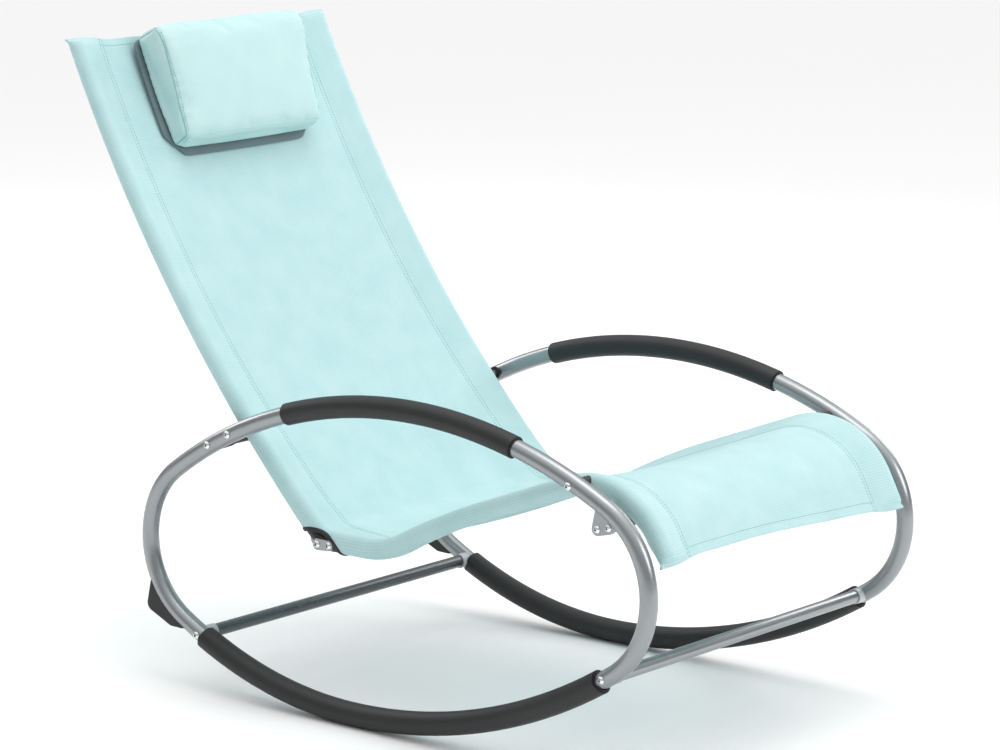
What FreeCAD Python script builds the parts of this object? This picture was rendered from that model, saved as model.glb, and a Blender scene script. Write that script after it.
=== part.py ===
import FreeCAD, Part
import math
import os

# Rocking chaise lounge. Lengths are in millimetres and angles in degrees.
# The chair is laid out with the side rings' long axis level: X is its width, Y runs from the
# foot end (-Y) to the head end (+Y) and Z is up. At the end it is tipped to its resting stance.

# Side ring, an oval of five arcs on the tube's centre line: two ends, a top and a rocker whose
# two arcs meet at the point it rests on, flatter towards the foot end
ring_length = 925.0
ring_top_height = 225.0
ring_end_radius = 131.0
ring_spacing = 600.0
ring_tube = 25.0
ring_wall = 1.5
stance_tilt = 4.24
rest_reach = 84.0
rest_depth = 219.4

# Lower tube of the ring, its sleeve and its two bolts, each a little before an end bend starts
front_bolt_back = 13.0
rear_bolt_back = 40.8
spigot_reach = 11.0
rocker_sleeve_d = 34.0
sleeve_setback_front = 9.5
sleeve_setback_rear = 7.0
sleeve_rim = 1.5

# Arm sleeve, along the top of the ring
arm_sleeve_d = 32.0
arm_front_reach = 248.0
arm_rear_reach = 172.0

# Stop block behind each rocker
stop_width = 22.0
stop_top_turn = 28.0
stop_heel_turn = 36.0
stop_toe_turn = 51.0
stop_low_turn = 58.0
stop_heel_height = 22.0
stop_toe_height = 9.0
stop_round = 12.0

# Bars across the chair
cross_bar = 19.0
cross_bar_wall = 1.2
collar_d = 22.4
collar_length = 11.0
knee_bar = 16.0
knee_bar_wall = 1.2
stretcher = 16.0
stretcher_wall = 1.2
end_nut_length = 24.0

# Side rails of the seat and back, on their centre line: the knee's crest lies behind the ring's
# front end, and the seat's straight run is shorter than the ring, so that both follow its length
rail_spacing = 519.0
rail_tube = 22.0
rail_wall = 1.2
knee_setback = 117.6
knee_drop = 5.6
knee_radius = 119.2
leg_slope = 66.7
leg_run = 24.2
seat_slope = 16.7
seat_shortfall = 760.4
seat_crown_radius = 1076.0
seat_crown_turn = 8.7
seat_bend_radius = 154.6
heel_slope = 2.4
heel_run = 61.2
hip_radius = 50.0
back_slope = 49.3
back_radius = 2360.0
back_run = 810.0
rail_joint_up = 70.0
rail_socket = 50.0
swage_shoulder = 6.0

# Places up the back, measured from the hip bend
back_bar_up = 183.0
head_stretcher_up = 560.0
head_bow = 30.0
hip_bow = 22.0

# Sling
sling_thick = 2.0
pocket_wall = 2.2
seam_inset = 43.0
sling_sag = 8.0
sling_over_head = 11.5
sling_past_foot = 11.5
notch_radius = 61.5
notch_drop = 47.0
notch_lean = 28.5
relief_gap = 0.6

# Head pillow
pillow_width = 314.0
pillow_height = 188.0
pillow_top_thick = 64.0
pillow_foot_thick = 31.0
pillow_lean = 10.0
pillow_side_share = 0.82
pillow_squareness = 4
pillow_below_head = 3.5
pillow_crown = 6.0
pillow_draw_in = 8.0
pillow_round = 9.0
pillow_top_round = 26.0
pillow_wall = 4.0
lining_thick = 6.0
lining_past_side = 2.0
lining_drop = 9.0
lining_chamfer = 34.0
strap_width = 120.0
strap_thick = 2.0
strap_behind = 40.0

# Plates
hip_plate = 3.0
hip_lobe = 8.5
hip_lobe_small = 7.5
hip_stretcher_up = 19.0
hip_stretcher_behind = 20.0
gusset = 4.0
gusset_lobe = 9.0
gusset_depth = 34.4
gusset_bolt_depth = 20.5
gusset_turn = 58.5
gusset_bolt_turn = 50.7
gusset_root_turn = 7.0
gusset_root_round = 2.0
flange = 3.0
flange_lobe = 8.0
bar_plate = 3.0
bar_plate_lobe = 10.0
bar_socket_lobe = 11.0
bar_bolt_gap = 45.0

# Fasteners and fits
bolt = 6.0
bolt_head = 11.0
bolt_head_height = 3.4
hex_key = 4.0
hex_depth = 2.0
nut_width = 10.0
nut_height = 5.0
nut_proud = 2.0
rivet_nut = 9.0
rivet_nut_length = 13.0
spacer = 15.0
plug_cap = 3.5
plug_length = 18.0
fit = 0.3
bolt_fit = 0.2

Vec = FreeCAD.Vector
ORIGIN = Vec(0, 0, 0)
SIDEWAYS = Vec(1, 0, 0)
LEFT_X = 1
RIGHT_X = -1

pieces = {}


# Plane geometry: a point is (y, z), a heading is an angle from +Y towards +Z

def away(point, heading, distance):
    turn = math.radians(heading)
    return (point[0] + distance * math.cos(turn), point[1] + distance * math.sin(turn))


def gap(first, second):
    return math.hypot(second[0] - first[0], second[1] - first[1])


def bearing(first, second):
    return math.degrees(math.atan2(second[1] - first[1], second[0] - first[0]))


def walk(start, heading, moves, x=0.0):
    # A move is (length,) for a straight run or (radius, turn) for an arc, left turns positive
    edges = []
    at = start
    for move in moves:
        if len(move) == 1:
            ahead = away(at, heading, move[0])
            edges.append(Part.LineSegment(Vec(x, *at), Vec(x, *ahead)).toShape())
        else:
            radius, turn = move
            side = math.copysign(90.0, turn)
            centre = away(at, heading + side, radius)
            middle = away(centre, heading - side + turn / 2, radius)
            ahead = away(centre, heading - side + turn, radius)
            edges.append(Part.Arc(Vec(x, *at), Vec(x, *middle), Vec(x, *ahead)).toShape())
            heading += turn
        at = ahead
    return edges, at, heading


def arcTurn(length, radius):
    return math.degrees(length / radius)


def sweep(edges, heading, outer, inner=0.0):
    # A round bar or tube along a path of lines and arcs
    start = edges[0].valueAt(edges[0].FirstParameter)
    turn = math.radians(heading)
    ahead = Vec(0, math.cos(turn), math.sin(turn))
    path = Part.Wire(edges)

    def bar(diameter):
        rim = Part.Wire(Part.makeCircle(diameter / 2, start, ahead))
        return path.makePipe(Part.Face(rim))

    return bar(outer).cut(bar(inner)) if inner else bar(outer)


def rodX(place, diameter, x_from, x_to):
    low, high = sorted((x_from, x_to))
    return Part.makeCylinder(diameter / 2, high - low, Vec(low, *place), SIDEWAYS)


def tubeX(place, diameter, wall, x_from, x_to):
    return rodX(place, diameter, x_from, x_to).cut(rodX(place, diameter - 2 * wall, x_from, x_to))


def hexX(place, across, x_from, x_to):
    low, high = sorted((x_from, x_to))
    corners = [away(place, 60 * k, across / math.sqrt(3)) for k in range(7)]
    rim = Part.makePolygon([Vec(low, *corner) for corner in corners])
    return Part.Face(rim).extrude(SIDEWAYS * (high - low))


def hullX(discs, x_from, x_to):
    # A plate whose outline is a belt round discs (point, radius), listed counter-clockwise
    low, high = sorted((x_from, x_to))
    starts, ends = [], []
    count = len(discs)
    for k, (point, radius) in enumerate(discs):
        after, after_radius = discs[(k + 1) % count]
        lean = math.degrees(math.asin((radius - after_radius) / gap(point, after)))
        normal = bearing(point, after) - 90 + lean
        ends.append((point, radius, normal))
        starts.append((after, after_radius, normal))
    starts = starts[-1:] + starts[:-1]
    edges = []
    for k in range(count):
        point, radius, normal_in = starts[k]
        normal_out = ends[k][2]
        sweep_turn = (normal_out - normal_in) % 360
        if radius > 0 and sweep_turn > 0.01:
            rim = [away(point, normal_in + sweep_turn * share, radius) for share in (0, 0.5, 1)]
            edges.append(Part.Arc(*[Vec(low, *p) for p in rim]).toShape())
        after, after_radius, normal_after = starts[(k + 1) % count]
        leave = away(point, normal_out, radius)
        arrive = away(after, normal_after, after_radius)
        edges.append(Part.LineSegment(Vec(low, *leave), Vec(low, *arrive)).toShape())
    return Part.Face(Part.Wire(edges)).extrude(SIDEWAYS * (high - low))


def mirrored(shape):
    return shape.mirror(ORIGIN, SIDEWAYS)


def pair(name, shape):
    # A piece made on the left (+X) goes in with its mirror image on the sitter's right
    pieces["left_" + name] = shape
    pieces["right_" + name] = mirrored(shape)


def group(name, shapes):
    # Separate solids that share a node, with their mirror images
    pieces[name] = Part.makeCompound(shapes + [mirrored(shape) for shape in shapes])


# The ring and the places on it

ring_x = ring_spacing / 2
half_span = ring_length / 2 - ring_end_radius
top_radius = ((half_span ** 2 + ring_top_height ** 2 - ring_end_radius ** 2)
              / (2 * (ring_top_height - ring_end_radius)))
top_centre = (0.0, ring_top_height - top_radius)
top_turn = math.degrees(math.asin(half_span / (top_radius - ring_end_radius)))
front_end_centre = (-half_span, 0.0)
rear_end_centre = (half_span, 0.0)
ring_bore = ring_tube - 2 * ring_wall
ring_face = ring_x + ring_tube / 2
ring_back = ring_x - ring_tube / 2
rest = (rest_reach, -rest_depth)
upright = stance_tilt + 90


def rockerRadius(end_centre):
    # The radius of the arc that leaves the rest point level and meets an end bend smoothly
    offset = (rest[0] - end_centre[0], rest[1] - end_centre[1])
    turn = math.radians(upright)
    rise = offset[0] * math.cos(turn) + offset[1] * math.sin(turn)
    return ((ring_end_radius ** 2 - offset[0] ** 2 - offset[1] ** 2)
            / (2 * (rise + ring_end_radius)))


front_radius = rockerRadius(front_end_centre)
rear_radius = rockerRadius(rear_end_centre)
front_centre = away(rest, upright, front_radius)
rear_centre = away(rest, upright, rear_radius)
front_turn = (upright + 180 - bearing(front_centre, front_end_centre)) % 360
rear_turn = (bearing(rear_centre, rear_end_centre) - upright - 180) % 360


def lowRadius(along):
    return front_radius if along < 0 else rear_radius


def lowHeading(along):
    # The rocker's heading at a length from the rest point, towards the head end if positive
    return stance_tilt + arcTurn(along, lowRadius(along))


def lowPoint(along):
    centre = front_centre if along < 0 else rear_centre
    return away(centre, lowHeading(along) - 90, lowRadius(along))


def lowArc(low, high, outer, inner=0.0):
    # A bar or tube along the rocker between two lengths from the rest point
    marks = [low, 0.0, high] if low < 0 < high else [low, high]
    moves = [(lowRadius((first + second) / 2),
              arcTurn(second - first, lowRadius((first + second) / 2)))
             for first, second in zip(marks, marks[1:])]
    edges = walk(lowPoint(low), lowHeading(low), moves, ring_x)[0]
    return sweep(edges, lowHeading(low), outer, inner)


def topPoint(turn):
    # A point on the upper arc, its turn measured from the middle towards the head end
    return away(top_centre, 90 - turn, top_radius)


def topTurn(reach):
    return math.degrees(math.asin(reach / top_radius))


front_bolt_reach = math.radians(front_turn) * front_radius - front_bolt_back
rear_bolt_reach = math.radians(rear_turn) * rear_radius - rear_bolt_back
front_bolt = lowPoint(-front_bolt_reach)
rear_bolt = lowPoint(rear_bolt_reach)
hoop_front = front_bolt_reach - ring_tube / 2
hoop_rear = rear_bolt_reach - ring_tube / 2
hoop_moves = [(front_radius, arcTurn(hoop_front, front_radius) - front_turn),
              (ring_end_radius, front_turn + top_turn - upright - 90),
              (top_radius, -2 * top_turn),
              (ring_end_radius, top_turn + rear_turn + upright - 270),
              (rear_radius, arcTurn(hoop_rear, rear_radius) - rear_turn)]
hoop_heading = lowHeading(-hoop_front) + 180
hoop_edges = walk(lowPoint(-hoop_front), hoop_heading, hoop_moves, ring_x)[0]
hoop_rod = sweep(hoop_edges, hoop_heading, ring_tube)


def tipCut(bolt_place, towards):
    # What is left outside a tube end that is rounded about its bolt
    box = Part.makeBox(2 * ring_tube, ring_tube, 2 * ring_tube,
                       Vec(ring_x - ring_tube, 0, -ring_tube))
    box.rotate(ORIGIN, SIDEWAYS, towards)
    box.translate(Vec(0, *bolt_place))
    return box.cut(rodX(bolt_place, ring_tube, ring_x - ring_tube, ring_x + ring_tube))


def boltHole(place, x_from, x_to):
    return rodX(place, bolt + 2 * bolt_fit, x_from, x_to)


# The seat rails' path, walked from the foot up to the head

seat_run = ring_length - seat_shortfall
knee_top = topPoint(topTurn(knee_setback - ring_length / 2))
knee_crest = (knee_top[0], knee_top[1] - knee_drop)
foot_end, foot_heading = walk(knee_crest, 180.0, [(knee_radius, leg_slope), (leg_run,)])[1:]
foot_heading -= 180.0
rail_x = rail_spacing / 2
rail_face = rail_x + rail_tube / 2
rail_back = rail_x - rail_tube / 2
rail_bore = rail_tube - 2 * rail_wall
knee_moves = [(leg_run,), (knee_radius, -(leg_slope + seat_slope))]
seat_moves = [(seat_run,), (seat_crown_radius, -seat_crown_turn),
              (seat_bend_radius, seat_slope + seat_crown_turn + heel_slope), (heel_run,)]
hip_move = (hip_radius, back_slope - heel_slope)


def railPath(foot_trim, back_length, x=0.0):
    # The whole path, its straight foot shortened and its back cut at a length past the hip
    start = away(foot_end, foot_heading, foot_trim)
    moves = [(leg_run - foot_trim,), knee_moves[1]] + seat_moves
    moves += [hip_move, (back_radius, arcTurn(back_length, back_radius))]
    return walk(start, foot_heading, moves, x)[0]


heel_end = walk(foot_end, foot_heading, knee_moves + seat_moves)[1]
hip_end = walk(foot_end, foot_heading, knee_moves + seat_moves + [hip_move])[1]
hip_corner = away(heel_end, heel_slope, hip_radius * math.tan(math.radians(hip_move[1] / 2)))
back_centre = away(hip_end, back_slope + 90, back_radius)


def upBack(distance, forward=0.0):
    # A point at a distance up the back's arc, moved forward from the rail towards the sitter
    return away(back_centre, backHeading(distance) - 90, back_radius - forward)


def backHeading(distance):
    return back_slope + arcTurn(distance, back_radius)


def alongBack(low, high, forward, x):
    edges = walk(upBack(low, forward), backHeading(low),
                 [(back_radius - forward, arcTurn(high - low, back_radius))], x)[0]
    return edges


rail_rod = sweep(railPath(0.0, back_run, rail_x), foot_heading, rail_tube)
seat_bolt = ((knee_top[0] + knee_crest[0]) / 2, (knee_top[1] + knee_crest[1]) / 2)
hip_bolts = [hip_corner, heel_end]
pocket_radius = rail_tube / 2 + pocket_wall


# Side rings

def makeHoop():
    bore = sweep(hoop_edges, hoop_heading, ring_bore)
    hoop = hoop_rod.cut(bore)
    hoop = hoop.cut(tipCut(front_bolt, lowHeading(-front_bolt_reach)))
    for place in (front_bolt, rear_bolt, seat_bolt) + tuple(bar_bolts):
        hoop = hoop.cut(boltHole(place, ring_back - 1, ring_face + 1))
    return hoop


def makeRocker():
    # The lower tube, its ends swaged to necks that slip into the hoop
    neck = ring_bore - 2 * fit
    neck_bore = neck - 2 * ring_wall
    low = fit - hoop_front
    high = hoop_rear - fit
    rocker = lowArc(low, high, ring_tube, ring_bore)
    for body_end, neck_end, inward in ((low, -front_bolt_reach - spigot_reach, swage_shoulder),
                                       (high, rear_bolt_reach + spigot_reach, -swage_shoulder)):
        shoulder = sorted((body_end, body_end + inward))
        spigot = sorted((neck_end, body_end + inward))
        rocker = rocker.fuse(lowArc(*shoulder, ring_tube, neck_bore))
        rocker = rocker.fuse(lowArc(*spigot, neck, neck_bore))
    rocker = rocker.removeSplitter()
    for place in (front_bolt, rear_bolt):
        rocker = rocker.cut(boltHole(place, ring_back - 1, ring_face + 1))
    return rocker


def makeRockerSleeve():
    low = sleeve_setback_front - front_bolt_reach
    high = rear_bolt_reach - sleeve_setback_rear
    outer = lowArc(low + sleeve_rim, high - sleeve_rim, rocker_sleeve_d)
    rims = lowArc(low, high, rocker_sleeve_d - 2 * sleeve_rim)
    bore = lowArc(low - 1, high + 1, ring_tube + 2 * fit)
    sleeve = outer.fuse(rims).removeSplitter().cut(bore)
    sleeve = sleeve.cut(rodX(front_bolt, ring_tube + 2 * fit, ring_x - ring_tube, ring_x + ring_tube))
    for place in (front_bolt, rear_bolt):
        sleeve = sleeve.cut(rodX(place, collar_d + 2 * fit, ring_x - ring_tube, ring_x))
    return sleeve


def makeArmSleeve():
    low = topTurn(-arm_front_reach)
    high = topTurn(arm_rear_reach)
    rim_turn = arcTurn(sleeve_rim, top_radius)

    def topArc(low, high, outer):
        edges = walk(topPoint(low), -low, [(top_radius, low - high)], ring_x)[0]
        return sweep(edges, -low, outer)

    outer = topArc(low + rim_turn, high - rim_turn, arm_sleeve_d)
    rims = topArc(low, high, arm_sleeve_d - 2 * sleeve_rim)
    bore = topArc(low - rim_turn, high + rim_turn, ring_tube + 2 * fit)
    return outer.fuse(rims).removeSplitter().cut(bore)


def makeStop():
    # A block on the outside of the ring's rear bend, with a heel and a flat sole
    tube_face = ring_end_radius + ring_tube / 2
    heel = away(rear_end_centre, -stop_heel_turn, tube_face + stop_heel_height - stop_round)
    toe = away(rear_end_centre, -stop_toe_turn, tube_face + stop_toe_height - stop_round)
    top = away(rear_end_centre, -stop_top_turn, ring_end_radius)
    low = away(rear_end_centre, -stop_low_turn, ring_end_radius)
    crown = (top, stop_round)
    block = hullX([crown, (low, stop_round), (toe, stop_round), (heel, stop_round)],
                  ring_x - stop_width / 2, ring_x + stop_width / 2)
    inside = Part.makeCylinder(ring_end_radius, 2 * ring_tube,
                               Vec(ring_x - ring_tube, *rear_end_centre), SIDEWAYS)
    return block.cut(inside).cut(hoop_rod)


# Bars between the rings

def makeCrossBar(place):
    bar = tubeX(place, cross_bar, cross_bar_wall, -ring_x, ring_x)
    return bar.cut(hoop_rod).cut(mirrored(hoop_rod))


def makeCollar(place):
    # A saddle collar slipped over a bar's end, hollowed to the ring's tube
    collar = tubeX(place, collar_d, (collar_d - cross_bar) / 2, ring_back - collar_length, ring_x)
    return collar.cut(hoop_rod)


def makeEndNut(place, bore, x_out):
    # A round nut pressed into a bar's end
    nut = rodX(place, bore, x_out - end_nut_length, x_out)
    return nut.cut(rodX(place, bolt, x_out - end_nut_length - 1, x_out + 1))


back_bar = upBack(back_bar_up, -(pocket_radius + fit + cross_bar / 2))
bar_turn = topTurn(back_bar[0])
half_bar_gap = arcTurn(bar_bolt_gap / 2, top_radius)
bar_bolts = [topPoint(bar_turn - half_bar_gap), topPoint(bar_turn + half_bar_gap)]
bar_end = ring_back - bar_plate
knee_bar_place = away(front_end_centre, 180 - gusset_turn, ring_end_radius - gusset_depth)
knee_bolt = away(front_end_centre, 180 - gusset_bolt_turn, ring_end_radius - gusset_bolt_depth)
gusset_face = ring_x + gusset / 2
gusset_back = ring_x - gusset / 2


def makeBackBar():
    bar = tubeX(back_bar, cross_bar, cross_bar_wall, -bar_end, bar_end)
    for side in (LEFT_X, RIGHT_X):
        bar = bar.cut(backRailHole(side * rail_x))
    return bar


def backRailHole(x, diameter=bolt + 2 * bolt_fit):
    # The hole for the screw that ties a rail to the back bar, square to the back
    turn = math.radians(backHeading(back_bar_up) + 90)
    ahead = Vec(0, math.cos(turn), math.sin(turn))
    start = Vec(x, *back_bar) - ahead * cross_bar
    return Part.makeCylinder(diameter / 2, 2 * cross_bar + pocket_wall, start, ahead)


def makeBarPlate():
    corners = [(bar_bolts[0], bar_plate_lobe), (back_bar, bar_socket_lobe),
               (bar_bolts[1], bar_plate_lobe)]
    if bearing(corners[0][0], corners[1][0]) > bearing(corners[0][0], corners[2][0]):
        corners = [corners[0], corners[2], corners[1]]
    plate = hullX(corners, bar_end, ring_back)
    for place in bar_bolts:
        plate = plate.cut(boltHole(place, bar_end - 1, ring_back + 1))
    return plate


def makeGusset():
    upper = away(front_end_centre, 180 - gusset_turn - gusset_root_turn, ring_end_radius)
    lower = away(front_end_centre, 180 - gusset_bolt_turn + gusset_root_turn, ring_end_radius)
    plate = hullX([(upper, gusset_root_round), (lower, gusset_root_round), (knee_bolt, gusset_lobe),
                   (knee_bar_place, gusset_lobe)], gusset_back, gusset_face)
    for place in (knee_bar_place, knee_bolt):
        plate = plate.cut(boltHole(place, gusset_back - 1, gusset_face + 1))
    return plate.cut(hoop_rod)


def makeKneeFlange():
    plate = hullX([(knee_bolt, flange_lobe), (knee_bar_place, gusset_lobe)],
                  gusset_back - flange, gusset_back)
    plate = plate.cut(hoop_rod)
    for place in (knee_bar_place, knee_bolt):
        plate = plate.cut(boltHole(place, gusset_back - flange - 1, gusset_back + 1))
    return plate


def makeKneeBar():
    end = gusset_back - flange
    return tubeX(knee_bar_place, knee_bar, knee_bar_wall, -end, end)


# Seat frame

def makeSeatRail():
    edges = railPath(0.0, rail_joint_up, rail_x)
    rail = sweep(edges, foot_heading, rail_tube, rail_bore)
    rail = rail.cut(boltHole(seat_bolt, rail_x, rail_face + 1))
    rail = rail.cut(rodX(seat_bolt, rivet_nut, rail_x, rail_face + 1))
    for place in hip_bolts:
        rail = rail.cut(boltHole(place, rail_back - 1, rail_face + 1))
    return rail


def makeBackRail():
    # The upper rail, its foot swaged to a neck that plugs into the seat rail
    neck = rail_bore - 2 * fit
    neck_bore = neck - 2 * rail_wall
    low = rail_joint_up - rail_socket
    inward = rail_joint_up + swage_shoulder

    def along(low, high, outer, inner):
        return sweep(alongBack(low, high, 0.0, rail_x), backHeading(low), outer, inner)

    rail = along(rail_joint_up, back_run, rail_tube, rail_bore)
    rail = rail.fuse(along(rail_joint_up, inward, rail_tube, neck_bore))
    rail = rail.fuse(along(low, inward, neck, neck_bore)).removeSplitter()
    return rail.cut(backRailHole(rail_x))


def makePlug(place, heading):
    # A ribbed plug with a domed cap that closes a rail's end, the heading pointing out of it
    turn = math.radians(heading)
    out = Vec(0, math.cos(turn), math.sin(turn))
    start = Vec(rail_x, *place)
    stem_d = rail_bore - 2 * fit
    stem = Part.makeCylinder(stem_d / 2, plug_length, start - out * plug_length, out)
    cap = Part.makeCylinder(rail_tube / 2, plug_cap, start, out)
    cap = cap.makeFillet(plug_cap * 0.6, [edge for edge in cap.Edges
                                          if edge.CenterOfMass.isEqual(start + out * plug_cap, 0.01)])
    return stem.fuse(cap).removeSplitter()


def bowedBar(place, towards, bow, diameter):
    # A bar bent in the plane of X and one direction, between the two rails' centre lines
    turn = math.radians(towards)
    middle = Vec(0, *place) + Vec(0, math.cos(turn), math.sin(turn)) * bow
    ends = [Vec(side * rail_x, *place) for side in (RIGHT_X, LEFT_X)]
    arc = Part.Arc(ends[0], middle, ends[1]).toShape()
    rim = Part.makeCircle(diameter / 2, ends[0], arc.tangentAt(arc.FirstParameter))
    return Part.Wire([arc]).makePipe(Part.Face(Part.Wire(rim)))


def bowedTube(place, towards, bow):
    outer = bowedBar(place, towards, bow, stretcher)
    return outer.cut(bowedBar(place, towards, bow, stretcher - 2 * stretcher_wall))


hip_middle = ((hip_bolts[0][0] + hip_bolts[1][0]) / 2, (hip_bolts[0][1] + hip_bolts[1][1]) / 2)
hip_stretcher_place = away(away(hip_corner, back_slope, hip_stretcher_up), back_slope - 90,
                           hip_stretcher_behind)
hanger_back = rail_back - hip_plate


def makeHipStretcher():
    # Bent down and back out of the sitter's way, and cut square at the hangers
    tube = bowedTube(hip_stretcher_place, back_slope - 90, hip_bow)
    between = rodX(hip_stretcher_place, 2 * rail_spacing, -hanger_back, hanger_back)
    return tube.common(between)


def makeHeadStretcher():
    place = upBack(head_stretcher_up)
    tube = bowedTube(place, backHeading(head_stretcher_up) - 90, head_bow)
    return tube.cut(rail_rod).cut(mirrored(rail_rod))


def makeHipPlate():
    plate = hullX([(hip_bolts[0], hip_lobe), (hip_bolts[1], hip_lobe_small)],
                  rail_face, rail_face + hip_plate)
    for place in hip_bolts:
        plate = plate.cut(boltHole(place, rail_face - 1, rail_face + hip_plate + 1))
    return plate


def hangerHull(grow, x_from, x_to):
    discs = [(hip_bolts[1], hip_lobe_small), (hip_stretcher_place, hip_lobe_small),
             (hip_bolts[0], hip_lobe)]
    return hullX([(place, lobe + grow) for place, lobe in discs], x_from, x_to)


def makeHipHanger():
    plate = hangerHull(0.0, hanger_back, rail_back)
    for place in hip_bolts:
        plate = plate.cut(boltHole(place, hanger_back - 1, rail_back + 1))
    return plate


def makeSeatSpacer():
    tube = rodX(seat_bolt, spacer, rail_x, ring_x).cut(boltHole(seat_bolt, rail_x - 1, ring_x + 1))
    return tube.cut(hoop_rod).cut(rail_rod)


def makeRivetNut():
    # A nut set in the rail's outer wall, which the seat bolt screws into
    nut = rodX(seat_bolt, rivet_nut, rail_face - rivet_nut_length, rail_face)
    nut = nut.common(rail_rod)
    return nut.cut(rodX(seat_bolt, bolt, rail_face - rivet_nut_length - 1, rail_face + 1))


# Fasteners

def makeBolt(length):
    # A domed bolt with a hexagon socket, its head on +X and its shank on -X
    rim = bolt_head / 2
    rise = bolt_head_height * 0.25
    crown = Vec(bolt_head_height, 0, 0)
    shoulder = Vec(bolt_head_height * 0.8, rim * 0.62, 0)
    profile = [Part.LineSegment(ORIGIN, Vec(0, rim, 0)),
               Part.LineSegment(Vec(0, rim, 0), Vec(rise, rim, 0)),
               Part.Arc(Vec(rise, rim, 0), shoulder, crown),
               Part.LineSegment(crown, ORIGIN)]
    head = Part.Face(Part.Wire([edge.toShape() for edge in profile]))
    head = head.revolve(ORIGIN, SIDEWAYS, 360)
    head = head.cut(hexX((0.0, 0.0), hex_key, bolt_head_height - hex_depth, bolt_head_height + 1))
    return head.fuse(rodX((0.0, 0.0), bolt, -length, 0.0)).removeSplitter()


def boltAt(place, x_head, length):
    screw = makeBolt(length)
    screw.translate(Vec(x_head, *place))
    return screw


def makeBackRailBolt():
    # The bolt behind the back bar that ties it to the rail, square to the back
    screw = makeBolt(cross_bar + fit + 2 * pocket_wall + 2 * rail_wall)
    turn = math.radians(backHeading(back_bar_up) - 90)
    behind = Vec(0, math.cos(turn), math.sin(turn))
    head = Vec(rail_x, *back_bar) + behind * (cross_bar / 2)
    screw.Placement = FreeCAD.Placement(head, FreeCAD.Rotation(SIDEWAYS, behind))
    return screw


def makeNut(place, x_face):
    nut = hexX(place, nut_width, x_face - nut_height, x_face)
    return nut.cut(rodX(place, bolt, x_face - nut_height - 1, x_face + 1))


# Sling

panel_half = rail_x - seam_inset


def slingProfile(start, heading):
    # Two teardrop pockets round the rails, joined by a panel that hangs a little between them
    turn = math.radians(heading)
    rise = Vec(0, -math.sin(turn), math.cos(turn))
    base = Vec(0, *start)

    def at(across, up):
        return base + SIDEWAYS * across + rise * up

    half = sling_thick / 2
    reach = math.hypot(seam_inset, half)
    lean = math.degrees(math.acos(pocket_radius / reach)) + math.degrees(math.atan2(half, seam_inset))
    touch = math.radians(180 - lean)
    touch_in = pocket_radius * math.cos(touch)
    touch_up = pocket_radius * math.sin(touch)
    outer = rail_x + pocket_radius
    edges = []
    for side in (1, -1):
        tip = at(side * outer, 0)
        shoulder = pocket_radius * math.sin(math.radians(45))
        for up in (1, -1):
            edges.append(Part.Arc(tip, at(side * (rail_x + shoulder), up * shoulder),
                                  at(side * (rail_x + touch_in), up * touch_up)).toShape())
            edges.append(Part.LineSegment(at(side * (rail_x + touch_in), up * touch_up),
                                          at(side * panel_half, up * half)).toShape())
    for up in (1, -1):
        edges.append(Part.Arc(at(-panel_half, up * half), at(0, up * half - sling_sag),
                              at(panel_half, up * half)).toShape())
    return Part.Face(Part.Wire(Part.__sortEdges__(edges)))


def makeSling():
    edges = railPath(-sling_past_foot, back_run + sling_over_head)
    start = away(foot_end, foot_heading, -sling_past_foot)
    sling = Part.Wire(edges).makePipe(slingProfile(start, foot_heading))
    bore_edges = railPath(-sling_past_foot - 1, back_run + sling_over_head + 1, rail_x)
    bore = sweep(bore_edges, foot_heading, rail_tube + 2 * fit)
    notch_centre = away(hip_middle, heel_slope + notch_lean - 90, notch_drop)
    hip_notch = rodX(notch_centre, 2 * notch_radius, rail_back, ring_x)
    hip_relief = hangerHull(relief_gap, hanger_back - nut_height - nut_proud - relief_gap, rail_x)
    seat_notch = rodX(seat_bolt, spacer + 4 * fit, rail_x, ring_x)
    screw_notch = backRailHole(rail_x, bolt + 4 * fit)
    slit = bowedBar(upBack(head_stretcher_up), backHeading(head_stretcher_up) - 90, head_bow,
                    stretcher + 4 * fit)
    for cutter in (bore, hip_notch, hip_relief, seat_notch, screw_notch):
        sling = sling.cut(cutter).cut(mirrored(cutter))
    return sling.cut(slit)


# Pillow, lying on the panel and hooked over its head edge by a strap

head_edge = back_run + sling_over_head
pillow_top = head_edge - pillow_below_head
pillow_foot = pillow_top - pillow_height
lining_top = pillow_top - pillow_round
lining_foot = pillow_foot - lining_drop
panel_radius = (panel_half ** 2 + sling_sag ** 2) / (2 * sling_sag)
corner_share = 1 - math.sqrt(0.5)


def panelFace(x):
    # How far forward of the rails' centre lines the panel's front lies
    return sling_thick / 2 - sling_sag + panel_radius - math.sqrt(panel_radius ** 2 - x ** 2)


def pillowBack(x, up):
    # The pillow leans away from the panel towards its top, where its strap holds it
    share = (up - lining_foot) / (pillow_top - lining_foot)
    return panelFace(x) + pillow_lean * share


def backWire(x, corners):
    # A closed outline up the back at x; a corner (up, forward) rides on the back's curve, and
    # a third value is how its edge to the next corner goes: the middle of an arc, or None
    edges = []
    for k, (up, forward, middle) in enumerate(corners):
        after = corners[(k + 1) % len(corners)]
        first = Vec(x, *upBack(up, forward))
        last = Vec(x, *upBack(after[0], after[1]))
        if middle:
            edges.append(Part.Arc(first, Vec(x, *upBack(*middle)), last).toShape())
        else:
            edges.append(Part.LineSegment(first, last).toShape())
    return Part.Wire(edges)


def roundCorner(first, last, corner):
    # The middle of the quarter turn between two points beside a corner
    return tuple(corner[k] + corner_share * (first[k] + last[k] - 2 * corner[k]) for k in (0, 1))


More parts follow.
